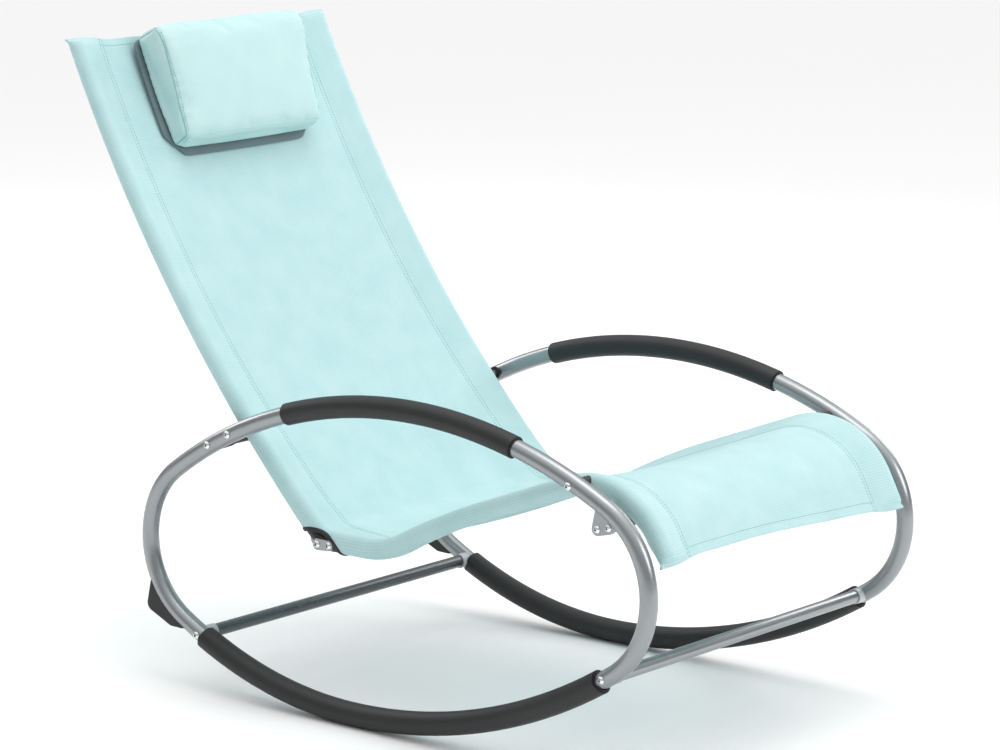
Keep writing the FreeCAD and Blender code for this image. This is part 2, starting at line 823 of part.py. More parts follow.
def pillowSection(x, wall):
    # A slice of the cushion at x, drawn in towards its sides, or the hollow inside its cover
    share = 1 - abs(2 * x / pillow_width) ** pillow_squareness
    thick = pillow_side_share + (1 - pillow_side_share) * share
    r = pillow_round - wall
    r_top = pillow_top_round - wall
    top = pillow_top - pillow_draw_in * (1 - share) - wall
    foot = pillow_foot + pillow_draw_in * (1 - share) + wall
    front_top = pillow_top_thick * thick - wall
    front_foot = pillow_foot_thick * thick - wall
    middle = (top + foot) / 2
    bulge = (front_top + front_foot) / 2 + pillow_crown * share
    behind = 2 * fit + lining_thick + wall
    back_top = pillowBack(x, top - r) + behind
    back_foot = pillowBack(x, foot + r) + behind
    rim = [((top, back_top + r), (top, front_top - r_top), None),
           ((top, front_top - r_top), (top - r_top, front_top), (top, front_top)),
           ((top - r_top, front_top), (foot + r, front_foot), None),
           ((foot + r, front_foot), (foot, front_foot - r), (foot, front_foot)),
           ((foot, front_foot - r), (foot, back_foot + r), None),
           ((foot, back_foot + r), (foot + r, back_foot), (foot, back_foot)),
           ((foot + r, back_foot), (top - r, back_top), None),
           ((top - r, back_top), (top, back_top + r), (top, back_top))]
    middles = {2: (middle, bulge), 6: (middle, (back_top + back_foot) / 2)}
    corners = []
    for k, (first, last, corner) in enumerate(rim):
        turn = roundCorner(first, last, corner) if corner else middles.get(k)
        corners.append((first[0], first[1], turn))
    return backWire(x, corners)


def acrossPillow(half, count):
    # Stations from side to side, closer together towards the sides
    return [half * math.sin(math.pi / 2 * k / count) for k in range(-count, count + 1)]


def makePillowCushion():
    # The cushion's sewn cover, a closed shell round its loose filling
    half = pillow_width / 2
    outer = [pillowSection(x, 0.0) for x in acrossPillow(half, 6)]
    inner = [pillowSection(x, pillow_wall) for x in acrossPillow(half - pillow_wall, 6)]
    return Part.makeLoft(outer, True, True).cut(Part.makeLoft(inner, True, True))


def makePillowLining():
    # A flat backing that shows past the cushion's sides and foot, its two lower corners cut off
    half = pillow_width / 2 + lining_past_side
    sections = []
    for x in acrossPillow(half, 6):
        low = pillowBack(x, lining_foot) + fit
        high = pillowBack(x, lining_top) + fit
        middle = ((lining_foot + lining_top) / 2, (low + high) / 2)
        sections.append(backWire(x, [
            (lining_foot, low, middle), (lining_top, high, None),
            (lining_top, high + lining_thick, (middle[0], middle[1] + lining_thick)),
            (lining_foot, low + lining_thick, None)]))
    lining = Part.makeLoft(sections, True, True)
    turn = math.radians(backHeading(lining_foot) + 90)
    ahead = Vec(0, math.cos(turn), math.sin(turn))
    corner = [(half + 1, lining_foot - 1), (half + 1, lining_foot + lining_chamfer),
              (half - lining_chamfer, lining_foot - 1)]
    for side in (LEFT_X, RIGHT_X):
        rim = [Vec(side * x, *upBack(up, -pillow_top_thick)) for x, up in corner]
        wedge = Part.Face(Part.makePolygon(rim + rim[:1])).extrude(ahead * 2 * pillow_top_thick)
        lining = lining.cut(wedge)
    return lining


def makePillowStrap():
    # From the lining's top edge up the panel, over its head edge and down behind it
    sections = []
    for x in acrossPillow(strap_width / 2, 3):
        start = pillowBack(x, lining_top) + fit
        front = panelFace(x) + fit
        rear = panelFace(x) - sling_thick - fit
        over = head_edge + fit
        low = head_edge - strap_behind
        sections.append(backWire(x, [
            (lining_top, start, None),
            (over, front, None),
            (over, rear, ((over + low) / 2, rear)),
            (low, rear, None),
            (low, rear - strap_thick, ((over + low) / 2, rear - strap_thick)),
            (over + strap_thick, rear - strap_thick, None),
            (over + strap_thick, front + strap_thick, None),
            (lining_top, start + strap_thick, None)]))
    return Part.makeLoft(sections, True, True)


# Assembly

pair("hoop_tube", makeHoop())
pair("rocker_tube", makeRocker())
pair("rocker_sleeve", makeRockerSleeve())
pair("arm_sleeve", makeArmSleeve())
pair("stop_block", makeStop())
pair("seat_rail", makeSeatRail())
pair("back_rail", makeBackRail())

pieces["front_crossbar"] = makeCrossBar(front_bolt)
pieces["rear_crossbar"] = makeCrossBar(rear_bolt)
pieces["back_bar"] = makeBackBar()
pieces["knee_bar"] = makeKneeBar()
pieces["hip_stretcher"] = makeHipStretcher()
pieces["head_stretcher"] = makeHeadStretcher()

nut_out = ring_back - 1
cross_bore = cross_bar - 2 * cross_bar_wall
knee_bore = knee_bar - 2 * knee_bar_wall
knee_end = gusset_back - flange
group("crossbar_collars", [makeCollar(place) for place in (front_bolt, rear_bolt)])
group("crossbar_end_nuts", [makeEndNut(place, cross_bore, nut_out)
                            for place in (front_bolt, rear_bolt)])
group("knee_bar_end_nuts", [makeEndNut(knee_bar_place, knee_bore, knee_end)])
group("back_bar_plates", [makeBarPlate()])
group("ring_gussets", [makeGusset()])
group("knee_bar_flanges", [makeKneeFlange()])
group("hip_plates", [makeHipPlate()])
group("hip_hangers", [makeHipHanger()])
group("seat_spacers", [makeSeatSpacer()])
group("rivet_nuts", [makeRivetNut()])
group("rail_foot_plugs", [makePlug(foot_end, foot_heading + 180)])
group("rail_head_plugs", [makePlug(upBack(back_run), backHeading(back_run))])

crossbar_bolt_length = ring_tube + end_nut_length
bar_bolt_length = ring_tube + bar_plate + nut_height + nut_proud
seat_bolt_length = ring_face - rail_face + rivet_nut_length
hip_bolt_length = rail_tube + 2 * hip_plate + nut_height + nut_proud
knee_bolt_length = gusset + flange + nut_height + nut_proud
group("crossbar_bolts", [boltAt(place, ring_face, crossbar_bolt_length)
                         for place in (front_bolt, rear_bolt)])
group("back_bar_bolts", [boltAt(place, ring_face, bar_bolt_length) for place in bar_bolts])
group("seat_bolts", [boltAt(seat_bolt, ring_face, seat_bolt_length)])
group("hip_bolts", [boltAt(place, rail_face + hip_plate, hip_bolt_length)
                    for place in hip_bolts])
group("knee_bar_bolts", [boltAt(place, gusset_face, knee_bolt_length)
                         for place in (knee_bar_place, knee_bolt)])
group("back_rail_bolts", [makeBackRailBolt()])
group("hex_nuts", [makeNut(place, bar_end) for place in bar_bolts]
      + [makeNut(place, hanger_back) for place in hip_bolts]
      + [makeNut(knee_bolt, knee_end)])

pieces["sling"] = makeSling()
pieces["pillow_cushion"] = makePillowCushion()
pieces["pillow_lining"] = makePillowLining()
pieces["pillow_strap"] = makePillowStrap()

# Tip the chair to its stance, stand it on the floor and centre it

for shape in pieces.values():
    shape.rotate(ORIGIN, SIDEWAYS, -stance_tilt)
box = FreeCAD.BoundBox()
for shape in pieces.values():
    box.add(shape.optimalBoundingBox(False))
for shape in pieces.values():
    shape.translate(Vec(0, -box.Center.y, -box.ZMin))

os.makedirs("parts", exist_ok=True)
for name, shape in pieces.items():
    shape.exportStep("parts/" + name + ".step")
    print(name, len(shape.Solids), "solids", round(shape.Volume / 1000, 2), "cm3",
          "valid" if shape.isValid() else "NOT VALID")
print("size", round(box.XLength, 1), round(box.YLength, 1), round(box.ZLength, 1))
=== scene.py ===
import math
import bmesh
import bpy
import numpy as np
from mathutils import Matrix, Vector
from mathutils.bvhtree import BVHTree


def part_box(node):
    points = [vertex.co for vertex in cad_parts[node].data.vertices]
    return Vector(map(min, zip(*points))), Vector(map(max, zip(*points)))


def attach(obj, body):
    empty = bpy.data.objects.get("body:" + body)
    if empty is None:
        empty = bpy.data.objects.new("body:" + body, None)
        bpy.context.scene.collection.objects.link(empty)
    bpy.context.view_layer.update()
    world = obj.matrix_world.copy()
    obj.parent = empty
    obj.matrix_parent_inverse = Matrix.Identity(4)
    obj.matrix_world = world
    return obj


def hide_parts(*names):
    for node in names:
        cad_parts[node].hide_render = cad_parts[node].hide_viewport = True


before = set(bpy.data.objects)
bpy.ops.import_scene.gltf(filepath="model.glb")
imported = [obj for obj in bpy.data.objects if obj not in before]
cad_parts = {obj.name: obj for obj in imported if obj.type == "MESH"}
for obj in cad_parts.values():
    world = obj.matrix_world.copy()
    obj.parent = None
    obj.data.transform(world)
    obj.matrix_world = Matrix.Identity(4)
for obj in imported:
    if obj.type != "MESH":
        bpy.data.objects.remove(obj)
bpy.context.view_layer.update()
scene = bpy.context.scene
print("frame loaded:", len(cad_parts), "nodes")


# Camera, placed from the middle of the two side rings

view = {
    "fromRing": (-4.3631, -3.5921, 1.3389),  # metres from the ring's centre
    "looks": (0.7536, 0.6281, -0.1930),
    "lens": 144.0,
    "sensor": 36.0,
}

ringSize = {
    "topAboveCentre": 0.2389,  # from the ring's centre up to the top of its tube
    "halfSpan": 0.3315,
    "endRadius": 0.131,
    "topHeight": 0.225,
    "tilt": 4.24,  # degrees, how far the ring is tipped back at rest
}

hoopLow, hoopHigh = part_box("left_hoop_tube")
ringCentre = np.array([0.0, (hoopLow.y + hoopHigh.y) / 2, hoopHigh.z - ringSize["topAboveCentre"]])


def linkPiece(name, data):
    piece = bpy.data.objects.new(name, data)
    scene.collection.objects.link(piece)
    return piece


cameraData = bpy.data.cameras.new("camera")
cameraData.lens = view["lens"]
cameraData.sensor_width = view["sensor"]
camera = linkPiece("camera", cameraData)
camera.location = Vector(ringCentre + np.array(view["fromRing"]))
camera.rotation_euler = Vector(view["looks"]).to_track_quat("-Z", "Y").to_euler()
scene.camera = camera
print("camera placed")


# Meshes from arrays

def newPiece(name, verts, faces, uvs=None, smooth=True):
    # verts has 3 columns, faces is an array or lists of any size, uvs has a pair for each vertex
    mesh = bpy.data.meshes.new(name)
    mesh.from_pydata(np.asarray(verts, float).reshape(-1, 3).tolist(), [],
                     faces if isinstance(faces, list) else faces.tolist())
    if uvs is not None:
        layer = mesh.uv_layers.new(name="cloth")
        corner = np.zeros(len(mesh.loops), int)
        mesh.loops.foreach_get("vertex_index", corner)
        layer.data.foreach_set("uv", uvs.reshape(-1, 2)[corner].ravel())
    mesh.polygons.foreach_set("use_smooth", np.full(len(mesh.polygons), smooth))
    mesh.update()
    return linkPiece(name, mesh)


def newMesh(name, verts, faces, weld=0, smooth=True):
    # A closed piece: points nearer than the weld are joined, and its normals point outwards
    piece = newPiece(name, verts, faces, smooth=smooth)
    build = bmesh.new()
    build.from_mesh(piece.data)
    if weld:
        bmesh.ops.remove_doubles(build, verts=build.verts, dist=weld)
    bmesh.ops.recalc_face_normals(build, faces=build.faces)
    build.to_mesh(piece.data)
    build.free()
    return piece


def vertsOf(mesh, kind="co"):
    flat = np.zeros(len(mesh.vertices) * 3)
    mesh.vertices.foreach_get(kind, flat)
    return flat.reshape(-1, 3)


def setVerts(mesh, verts):
    mesh.vertices.foreach_set("co", verts.ravel())
    mesh.polygons.foreach_set("use_smooth", np.full(len(mesh.polygons), True))
    mesh.update()


def applied(piece):
    # The piece's mesh with its modifiers worked in
    ready = piece.evaluated_get(bpy.context.evaluated_depsgraph_get())
    return bpy.data.meshes.new_from_object(ready)


def giveThickness(piece, thick):
    wall = piece.modifiers.new("thickness", "SOLIDIFY")
    wall.thickness = thick
    wall.offset = 0


def gridFaces(rows, cols, closeCols=False):
    # Quads between neighbouring points of a rows by cols grid, wrapped round where it is closed
    row, col = np.meshgrid(np.arange(rows - 1), np.arange(cols if closeCols else cols - 1),
                           indexing="ij")
    here, there, after = row * cols, (row + 1) * cols, (col + 1) % cols
    return np.stack([here + col, here + after, there + after, there + col], -1).reshape(-1, 4)


def lengthsAlong(path):
    # How far along the path each of its points lies
    return np.concatenate([[0], np.cumsum(np.linalg.norm(np.diff(path, axis=0), axis=1))])


def pointsAt(values, far, at):
    # The values at some lengths along a path, taken between those at its own points
    return np.stack([np.interp(at, far, column) for column in values.T], -1)


def unit(vectors):
    return vectors / np.maximum(np.linalg.norm(vectors, axis=-1, keepdims=True), 1e-12)


def rise(low, high, value):
    # Smooth step from 0 at low to 1 at high
    t = np.clip((np.asarray(value, float) - low) / (high - low), 0, 1)
    return t * t * (3 - 2 * t)


def ripple(value, wave, seed):
    # A gentle random wave along one length: the mean of four sines of unlike length and phase
    pick = np.random.default_rng(seed)
    lengths = wave * pick.uniform(0.75, 1.6, 4)
    phases = pick.uniform(0, 2 * np.pi, 4)
    return np.mean([np.sin(2 * np.pi * np.asarray(value) / length + phase)
                    for length, phase in zip(lengths, phases)], 0)


# The rails' centre line in side view, which the cloth follows from the foot end to the head end

railSize = {
    "gap": 0.519,  # between the middles of the two rails
    "kneeReach": 0.3449,  # from the ring's centre forward to the knee's crest
    "kneeDrop": 0.0056,
    "kneeRadius": 0.1192,
    "kneeTurn": 66.7,  # how far the rail turns before the knee's crest
    "moves": [  # length of each stretch and how far it turns, left positive
        (0.0242, 0.0),
        (0.1192 * math.radians(83.4), -83.4),
        (0.1646, 0.0),
        (1.076 * math.radians(8.7), -8.7),
        (0.1546 * math.radians(27.8), 27.8),
        (0.0612, 0.0),
        (0.050 * math.radians(46.9), 46.9),
        (0.810, math.degrees(0.810 / 2.360)),
    ],
}
hipMove = 6
railEnd = sum(move[0] for move in railSize["moves"])
hipStart = sum(move[0] for move in railSize["moves"][:hipMove])
hipEnd = hipStart + railSize["moves"][hipMove][0]
hipMiddle = (hipStart + hipEnd) / 2
kneeCrest = railSize["moves"][0][0] + railSize["kneeRadius"] * math.radians(railSize["kneeTurn"])


def railPlane(s):
    # Place and heading at each length s along the line, before it is set in the ring. On a bend
    # the place moves by its radius times the change of the heading's sine and cosine
    s = np.asarray(s, float)
    y, z, h = np.zeros_like(s), np.zeros_like(s), np.zeros_like(s)
    at, heading, low = np.zeros(2), math.radians(railSize["kneeTurn"]), 0.0
    for k, (length, turn) in enumerate(railSize["moves"]):
        turn = math.radians(turn)
        last = k == len(railSize["moves"]) - 1
        inside = ((s >= low) | (k == 0)) & ((s < low + length) | last)
        along = s - low
        if turn:
            radius = length / turn
            there = heading + along / radius
            py = at[0] + radius * (np.sin(there) - math.sin(heading))
            pz = at[1] - radius * (np.cos(there) - math.cos(heading))
            at = at + radius * np.array([math.sin(heading + turn) - math.sin(heading),
                                         math.cos(heading) - math.cos(heading + turn)])
        else:
            there = np.full(s.shape, heading)
            py = at[0] + along * math.cos(heading)
            pz = at[1] + along * math.sin(heading)
            at = at + length * np.array([math.cos(heading), math.sin(heading)])
        y, z, h = np.where(inside, py, y), np.where(inside, pz, z), np.where(inside, there, h)
        heading += turn
        low += length
    return y, z, h


topRadius = ((ringSize["halfSpan"] ** 2 + ringSize["topHeight"] ** 2 - ringSize["endRadius"] ** 2)
             / (2 * (ringSize["topHeight"] - ringSize["endRadius"])))
kneeHeight = (ringSize["topHeight"] - topRadius - railSize["kneeDrop"]
              + math.sqrt(topRadius ** 2 - railSize["kneeReach"] ** 2))
crestY, crestZ = railPlane([kneeCrest])[:2]
railShift = np.array([-railSize["kneeReach"] - crestY[0], kneeHeight - crestZ[0]])
tilt = math.radians(ringSize["tilt"])


def railLine(s):
    # The same line in the chair's own frame: shifted into the ring, then tipped to its stance
    y, z, h = railPlane(s)
    y, z, h = y + railShift[0], z + railShift[1], h - tilt
    outY = y * math.cos(tilt) + z * math.sin(tilt) + ringCentre[1]
    outZ = -y * math.sin(tilt) + z * math.cos(tilt) + ringCentre[2]
    return outY, outZ, h


def onLine(s, x, up):
    # A point x across the chair and up off the rails' line, square to it
    y, z, h = railLine(s)
    return np.stack([np.broadcast_to(x, y.shape), y - up * np.sin(h), z + up * np.cos(h)], -1)


print("rail line: %.3f m" % railEnd)


# Sling: one cloth, its two sides folded back round the rails and sewn down as pockets

sling = {
    "thick": 0.0009,
    "pocketRadius": 0.0122,
    "seamInset": 0.043,  # from the rail's middle to the sewn line
    "rowGap": 0.006,  # between the two rows of stitches
    "turnedUnder": 0.009,
    "sag": 0.008,
    "footOver": 0.0125,  # cloth past the rail's ends, which closes flat
    "headOver": 0.0125,
    "middleIn": 0.0065,  # the panel's ends draw in between the pockets
    "drawnIn": 0.05,
    "farSkew": 0.015,  # the foot hem runs out longer on the far side
    "skewAcross": (-0.08, 0.27),
    "skewReach": 0.12,
    "sagAtEnd": 0.75,  # share of the sag at the two hems
    "sagGrows": 0.1,
    "flatFrom": 0.0118,  # past the rail's ends the pockets close between these two lengths
    "flatTo": 0.003,
    "flatHalf": 0.0011,
    "topShare": 0.45,  # how much of the lift is left at the top of the rail
    "hem": 0.013,
    "hemDrop": 0.0013,
    "hipLift": 0.0065,  # the stretched cloth cuts the corner at the hip
    "hipReach": 0.055,
    "wideLift": 0.0095,
    "seatReach": 0.20,
    "backReach": 0.27,
    "legSlack": 0.005,  # the pocket hangs loose under the rail at the leg
    "seatSlack": 0.0025,
    "slackFrom": 0.03,
    "legToSeat": (0.13, 0.2),
    "seatEnds": (0.16, 0.02),  # before the hip
    "rowStep": 0.0065,
    "fineStep": 0.0016,
    "fineReach": 0.085,
    "panelCols": 20,
    "lipCols": 6,
    "wrapCols": 28,
}
waves = {
    # length of the wave, its height and its seed
    "pocket": (0.09, 0.35, 4),  # share of the slack
    "seam": (0.013, 0.6, 3),  # share of the pucker
    "ends": (0.055, 0.0014, 8),
    "pucker": 0.0007,
    "puckerWidth": 0.007,
    "endReach": 0.03,
    "endMiddle": 0.08,
    "drawnOut": 0.4,  # how far the pocket's slack also stands outwards
}
notch = {"radius": 0.0615, "drop": 0.047, "lean": 28.5, "inboard": 0.011, "snap": 0.003}

railX = railSize["gap"] / 2
seamX = railX - sling["seamInset"]


def wrapLift(angle):
    # Share of the rail-top lift at an angle round the rail: none on its outer and lower sides
    return rise(-0.5, 0.95, np.sin(angle))


def clothSection():
    # Half a cross-section from the middle outwards, as x and up off the rails' line: the panel,
    # the upper lip that meets the pocket on its tangent, the wrap round the rail, the lower lip
    # and the edge turned under. With it go the cloth's own length up to each point, its part,
    # and how much each point rises with the panel and hangs with the pocket's slack
    half = sling["thick"] / 2
    reach = math.hypot(sling["seamInset"], half)
    lean = math.acos(sling["pocketRadius"] / reach) + math.atan2(half, sling["seamInset"])
    touch = math.pi - lean
    panelX = np.linspace(0, seamX - sling["rowGap"], sling["panelCols"])
    wrap = np.linspace(touch, -touch, sling["wrapCols"])
    wrapX = railX + sling["pocketRadius"] * np.cos(wrap)
    wrapUp = sling["pocketRadius"] * np.sin(wrap)
    lip = np.linspace(0, 1, sling["lipCols"], endpoint=False)
    lipX = seamX + (wrapX[0] - seamX) * lip
    lipUp = half + (wrapUp[0] - half) * lip
    x = np.concatenate([panelX, lipX, wrapX, lipX[::-1], [seamX - sling["turnedUnder"]]])
    up = np.concatenate([np.full(len(panelX), half), lipUp, wrapUp, -lipUp[::-1], [-half * 2.2]])
    length = np.concatenate([[0], np.cumsum(np.hypot(np.diff(x), np.diff(up)))])
    part = np.repeat([0, 1, 2, 3], [len(panelX), len(lipX), len(wrapX), len(lipX) + 1])
    top = sling["topShare"]
    lift = np.concatenate([np.ones(len(panelX)), 1 - (1 - top) * lip, top * wrapLift(wrap),
                           1 - lip[::-1], [1]])
    hang = np.concatenate([np.zeros(len(panelX) + len(lipX)), rise(0.5, 0.95, -np.sin(wrap)) * 0.6
                           + rise(-0.6, 0.4, -np.sin(wrap)) * 0.4, lip[::-1], [0]])
    return x, up, length, part, lift, hang


def bothSides(half, flip=1):
    return np.concatenate([flip * half[:0:-1], half])


section = clothSection()
sectionLength = section[2]
colX, colLength = bothSides(section[0], -1), bothSides(section[2], -1)
colUp, colPart, colLift, colHang = [bothSides(section[k]) for k in (1, 3, 4, 5)]
wrapMiddle = len(section[0]) - sling["lipCols"] - 1 - sling["wrapCols"] // 2
slingStart = -sling["footOver"]
slingEnd = railEnd + sling["headOver"]


def slingRows():
    # Lengths along the line, closer at the hip, and how far each row is folded under: the two
    # hems turn back below
    reach = sling["fineReach"]
    coarse = np.arange(slingStart, slingEnd, sling["rowStep"])
    coarse = coarse[np.abs(coarse - hipMiddle) > reach]
    fine = np.arange(hipMiddle - reach, hipMiddle + reach, sling["fineStep"])
    close = np.array([0.001, 0.0025, 0.0045])
    body = np.sort(np.concatenate([coarse, fine, slingStart + close, slingEnd - close, [slingEnd]]))
    hem = np.linspace(sling["hem"], 0.0012, 4)
    s = np.concatenate([slingStart + hem, [slingStart - 0.0004], body, [slingEnd + 0.0004],
                        slingEnd - hem[::-1]])
    under = np.concatenate([np.ones(4), [0.5], np.zeros(len(body)), [0.5], np.ones(4)])
    cloth = np.concatenate([slingStart - hem, [slingStart], body, [slingEnd], slingEnd + hem[::-1]])
    return s, under, cloth


def pocketLift(s):
    # How far the taut cloth stands off the rails: a sharp rise at the hip on a long low one
    off = np.asarray(s, float) - hipMiddle
    reach = np.where(off > 0, sling["backReach"], sling["seatReach"])
    return (sling["hipLift"] * np.exp(-(off / sling["hipReach"]) ** 2)
            + sling["wideLift"] * np.exp(-np.abs(off / reach) ** 2.5))


def pocketSlack(s):
    # How far the pocket hangs below the rail: most down the leg, a little along the seat
    s = np.asarray(s, float)
    onSeat = rise(*sling["legToSeat"], s)
    leg = rise(0.0, sling["slackFrom"], s) * (1 - onSeat)
    seat = onSeat * (1 - rise(*(hipStart - np.array(sling["seatEnds"])), s))
    return sling["legSlack"] * leg + sling["seatSlack"] * seat


def slingShape(s, x, up, length, part, liftShare, hangShare, under):
    # The cloth's x and up at each point: the plain section, less the panel's sag, with the lift
    # and slack of the pockets, flat pocket ends, hem folds, seam pucker and loose waves. Where a
    # wave is shifted by a length, it is so that the two sides or the two ends aren't alike
    panel = part == 0
    across = np.clip(np.abs(x) / seamX, 0, 1)
    edge = np.minimum(s - slingStart, slingEnd - s)
    flat = 1 - rise(-sling["flatFrom"], -sling["flatTo"], np.minimum(s, railEnd - s))
    flatX = np.sign(x) * (np.minimum(length, 2 * sectionLength[wrapMiddle] - length) - 0.002)
    flatUp = np.where(panel, up, np.sign(up) * sling["flatHalf"])
    x = np.where(panel, x, x + (flatX - x) * flat)
    up = np.where(panel, up, up + (flatUp - up) * flat)
    sagShare = sling["sagAtEnd"] + (1 - sling["sagAtEnd"]) * rise(0, sling["sagGrows"], edge)
    up = up - sling["sag"] * (1 - across ** 2) * sagShare + pocketLift(s) * liftShare
    wave, high, seed = waves["pocket"]
    slack = pocketSlack(s) * (1 + high * ripple(s + 0.2 * (x > 0), wave, seed)) * hangShare
    up = up - slack
    x = x + np.sign(x) * waves["drawnOut"] * slack
    wave, high, seed = waves["seam"]
    pucker = np.exp(-((np.abs(x) - seamX + sling["rowGap"] / 2) / waves["puckerWidth"]) ** 2)
    up = up - waves["pucker"] * pucker * (part < 2) * (1 + high * ripple(s, wave, seed))
    wave, high, seed = waves["ends"]
    loose = np.exp(-(np.maximum(edge, 0) / waves["endReach"]) ** 2) * np.where(panel, 1, 0.4)
    loose = loose * (1 - 0.9 * np.exp(-(x / waves["endMiddle"]) ** 2))
    up = up + high * loose * ripple(x + 0.3 * (s > 0.8), wave, seed)
    up = up - sling["hemDrop"] * under * np.where(panel, 1, 0.3 * np.sign(up))
    return x, up


slingS, slingUnder, slingCloth = slingRows()
gridS, gridX = np.meshgrid(slingS, colX, indexing="ij")
gridSize = gridS.shape


def spread(cols):
    return np.broadcast_to(cols, gridSize)


slingX, slingU = slingShape(gridS, gridX, spread(colUp), spread(np.abs(colLength)), spread(colPart),
                            spread(colLift), spread(colHang), slingUnder[:, None])
middleIn = 1 - rise(seamX - 0.03, railX - 0.005, np.abs(gridX))
gridEnd = np.minimum(gridS - slingStart, slingEnd - gridS)
nearEnd = np.exp(-(np.maximum(gridEnd, 0) / sling["drawnIn"]) ** 2)
gridS = gridS + sling["middleIn"] * middleIn * nearEnd * np.where(gridS > kneeCrest, -1, 1)
gridS = gridS - (sling["farSkew"] * rise(*sling["skewAcross"], gridX)
                 * (1 - rise(0, sling["skewReach"], gridS - slingStart)))
slingGrid = onLine(gridS, slingX, slingU)
print("sling grid:", slingGrid.shape)


def hipNotch():
    # Side view: the notch is a circle below the middle of the two bolts at the hip
    heelY, heelZ, heelTurn = [value[0] for value in railLine([hipStart])]
    length, turn = railSize["moves"][hipMove]
    reach = length / math.radians(turn) * math.tan(math.radians(turn / 2))
    down = heelTurn + math.radians(notch["lean"] - 90)
    return np.array([heelY + reach / 2 * math.cos(heelTurn) + notch["drop"] * math.cos(down),
                     heelZ + reach / 2 * math.sin(heelTurn) + notch["drop"] * math.sin(down)])


def cutNotch(verts, faces, centre):
    # Faces over the notch go, and the points left on its rim move onto the circle
    away = verts[:, 1:] - centre
    far = np.hypot(away[:, 0], away[:, 1])
    outer = np.abs(verts[:, 0]) > railX - notch["inboard"]
    inside = (far < notch["radius"]) & outer
    gone = inside[faces].sum(1) >= 2
    rim = np.intersect1d(faces[gone].ravel(), faces[~gone].ravel())
    rim = rim[outer[rim] & (np.abs(far[rim] - notch["radius"]) < notch["snap"])]
    verts = verts.copy()
    verts[rim, 1:] = centre + away[rim] * (notch["radius"] / far[rim])[:, None]
    return verts, faces[~gone]


notchCentre = hipNotch()
slingVerts = slingGrid.reshape(-1, 3)
slingFaces = gridFaces(*gridSize)
slingUvs = np.stack([spread(colLength), np.broadcast_to(slingCloth[:, None], gridSize)], -1)
slingVerts, slingFaces = cutNotch(slingVerts, slingFaces, notchCentre)
used = np.unique(slingFaces)
renumber = np.full(len(slingVerts), -1)
renumber[used] = np.arange(len(used))
slingPiece = newPiece("sling_cloth", slingVerts[used], renumber[slingFaces],
                      slingUvs.reshape(-1, 2)[used])
giveThickness(slingPiece, sling["thick"])
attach(slingPiece, "chair")
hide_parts("sling")
print("sling made:", len(slingFaces), "faces")


# Binding tape round the rim of each hip notch: its black is partly the black rail seen in the notch
# and partly painted shade inside the pocket

tape = {"half": 0.0034, "thick": 0.0013, "proud": 0.0006, "count": 70, "round": 10,
        "lowest": -1.75,  # angle round the rail where the tape ends under it
        "reach": 0.075}


def onPocket(s, angle, proud=0.0):
    # Side-view place and x of a point on the pocket's wrap at an angle round the rail
    radius = sling["pocketRadius"] + proud
    up = radius * np.sin(angle) + pocketLift(s) * sling["topShare"] * wrapLift(angle)
    return onLine(s, railX + radius * np.cos(angle), up)


def rimCurve():
    # From below the rail on the seat side, over the notch's crest, to below it on the back side.
    # At each angle round the rail, halving finds where the notch's circle crosses the pocket
    def gapTo(s, angle):
        place = onPocket(s, angle)[:, 1:] - notchCentre
        return np.hypot(place[:, 0], place[:, 1])

    angles = np.linspace(-1.7, 1.7, 400)
    hipRow = np.linspace(hipStart - 0.05, hipEnd + 0.05, 60)
    cuts = [(gapTo(hipRow, np.full(60, angle)) <= notch["radius"]).any() for angle in angles]
    crest = angles[np.array(cuts)].max()
    hipRow = np.linspace(hipStart - 0.05, hipEnd + 0.05, 200)
    middle = hipRow[np.argmin(gapTo(hipRow, np.full(200, crest)))]
    q = np.linspace(-1, 1, tape["count"])
    angle = crest - 0.002 - (crest - tape["lowest"]) * np.abs(q) ** 1.8
    low = np.full(len(q), middle)
    high = np.where(q < 0, middle - tape["reach"], middle + tape["reach"])
    for _ in range(22):
        centre = (low + high) / 2
        out = gapTo(centre, angle) > notch["radius"]
        low, high = np.where(out, low, centre), np.where(out, centre, high)
    return (low + high) / 2, angle


def sweepSection(path, normal, profile):
    # A closed profile (across, out) carried along a path; out follows the normal given
    ahead = unit(np.gradient(path, axis=0))
    across = unit(np.cross(ahead, normal))
    out = np.cross(across, ahead)
    return (path[:, None] + across[:, None] * profile[None, :, 0:1]
            + out[:, None] * profile[None, :, 1:2])


def rounded(wave, power):
    # A sine or cosine squared off: raised to 2/power, its sign kept
    return np.sign(wave) * np.abs(wave) ** (2 / power)


def ovalProfile(half, thick, count, power=3.0):
    # A flattened oval: cosine and sine raised to 2/power
    turn = np.arange(count) * 2 * np.pi / count
    return np.stack([half * rounded(np.cos(turn), power), thick * rounded(np.sin(turn), power)], -1)


def tubeFaces(rows, cols):
    # The wall of a swept profile, with one flat face across each end
    return gridFaces(rows, cols, closeCols=True).tolist() + [
        list(range(cols))[::-1], list(range((rows - 1) * cols, rows * cols))]


def joinRows(rows):
    # Several (verts, faces) pairs as one mesh's
    verts, faces, count = [], [], 0
    for rowVerts, rowFaces in rows:
        verts.append(rowVerts)
        faces += [[i + count for i in face] for face in rowFaces]
        count += len(rowVerts)
    return np.concatenate(verts), faces


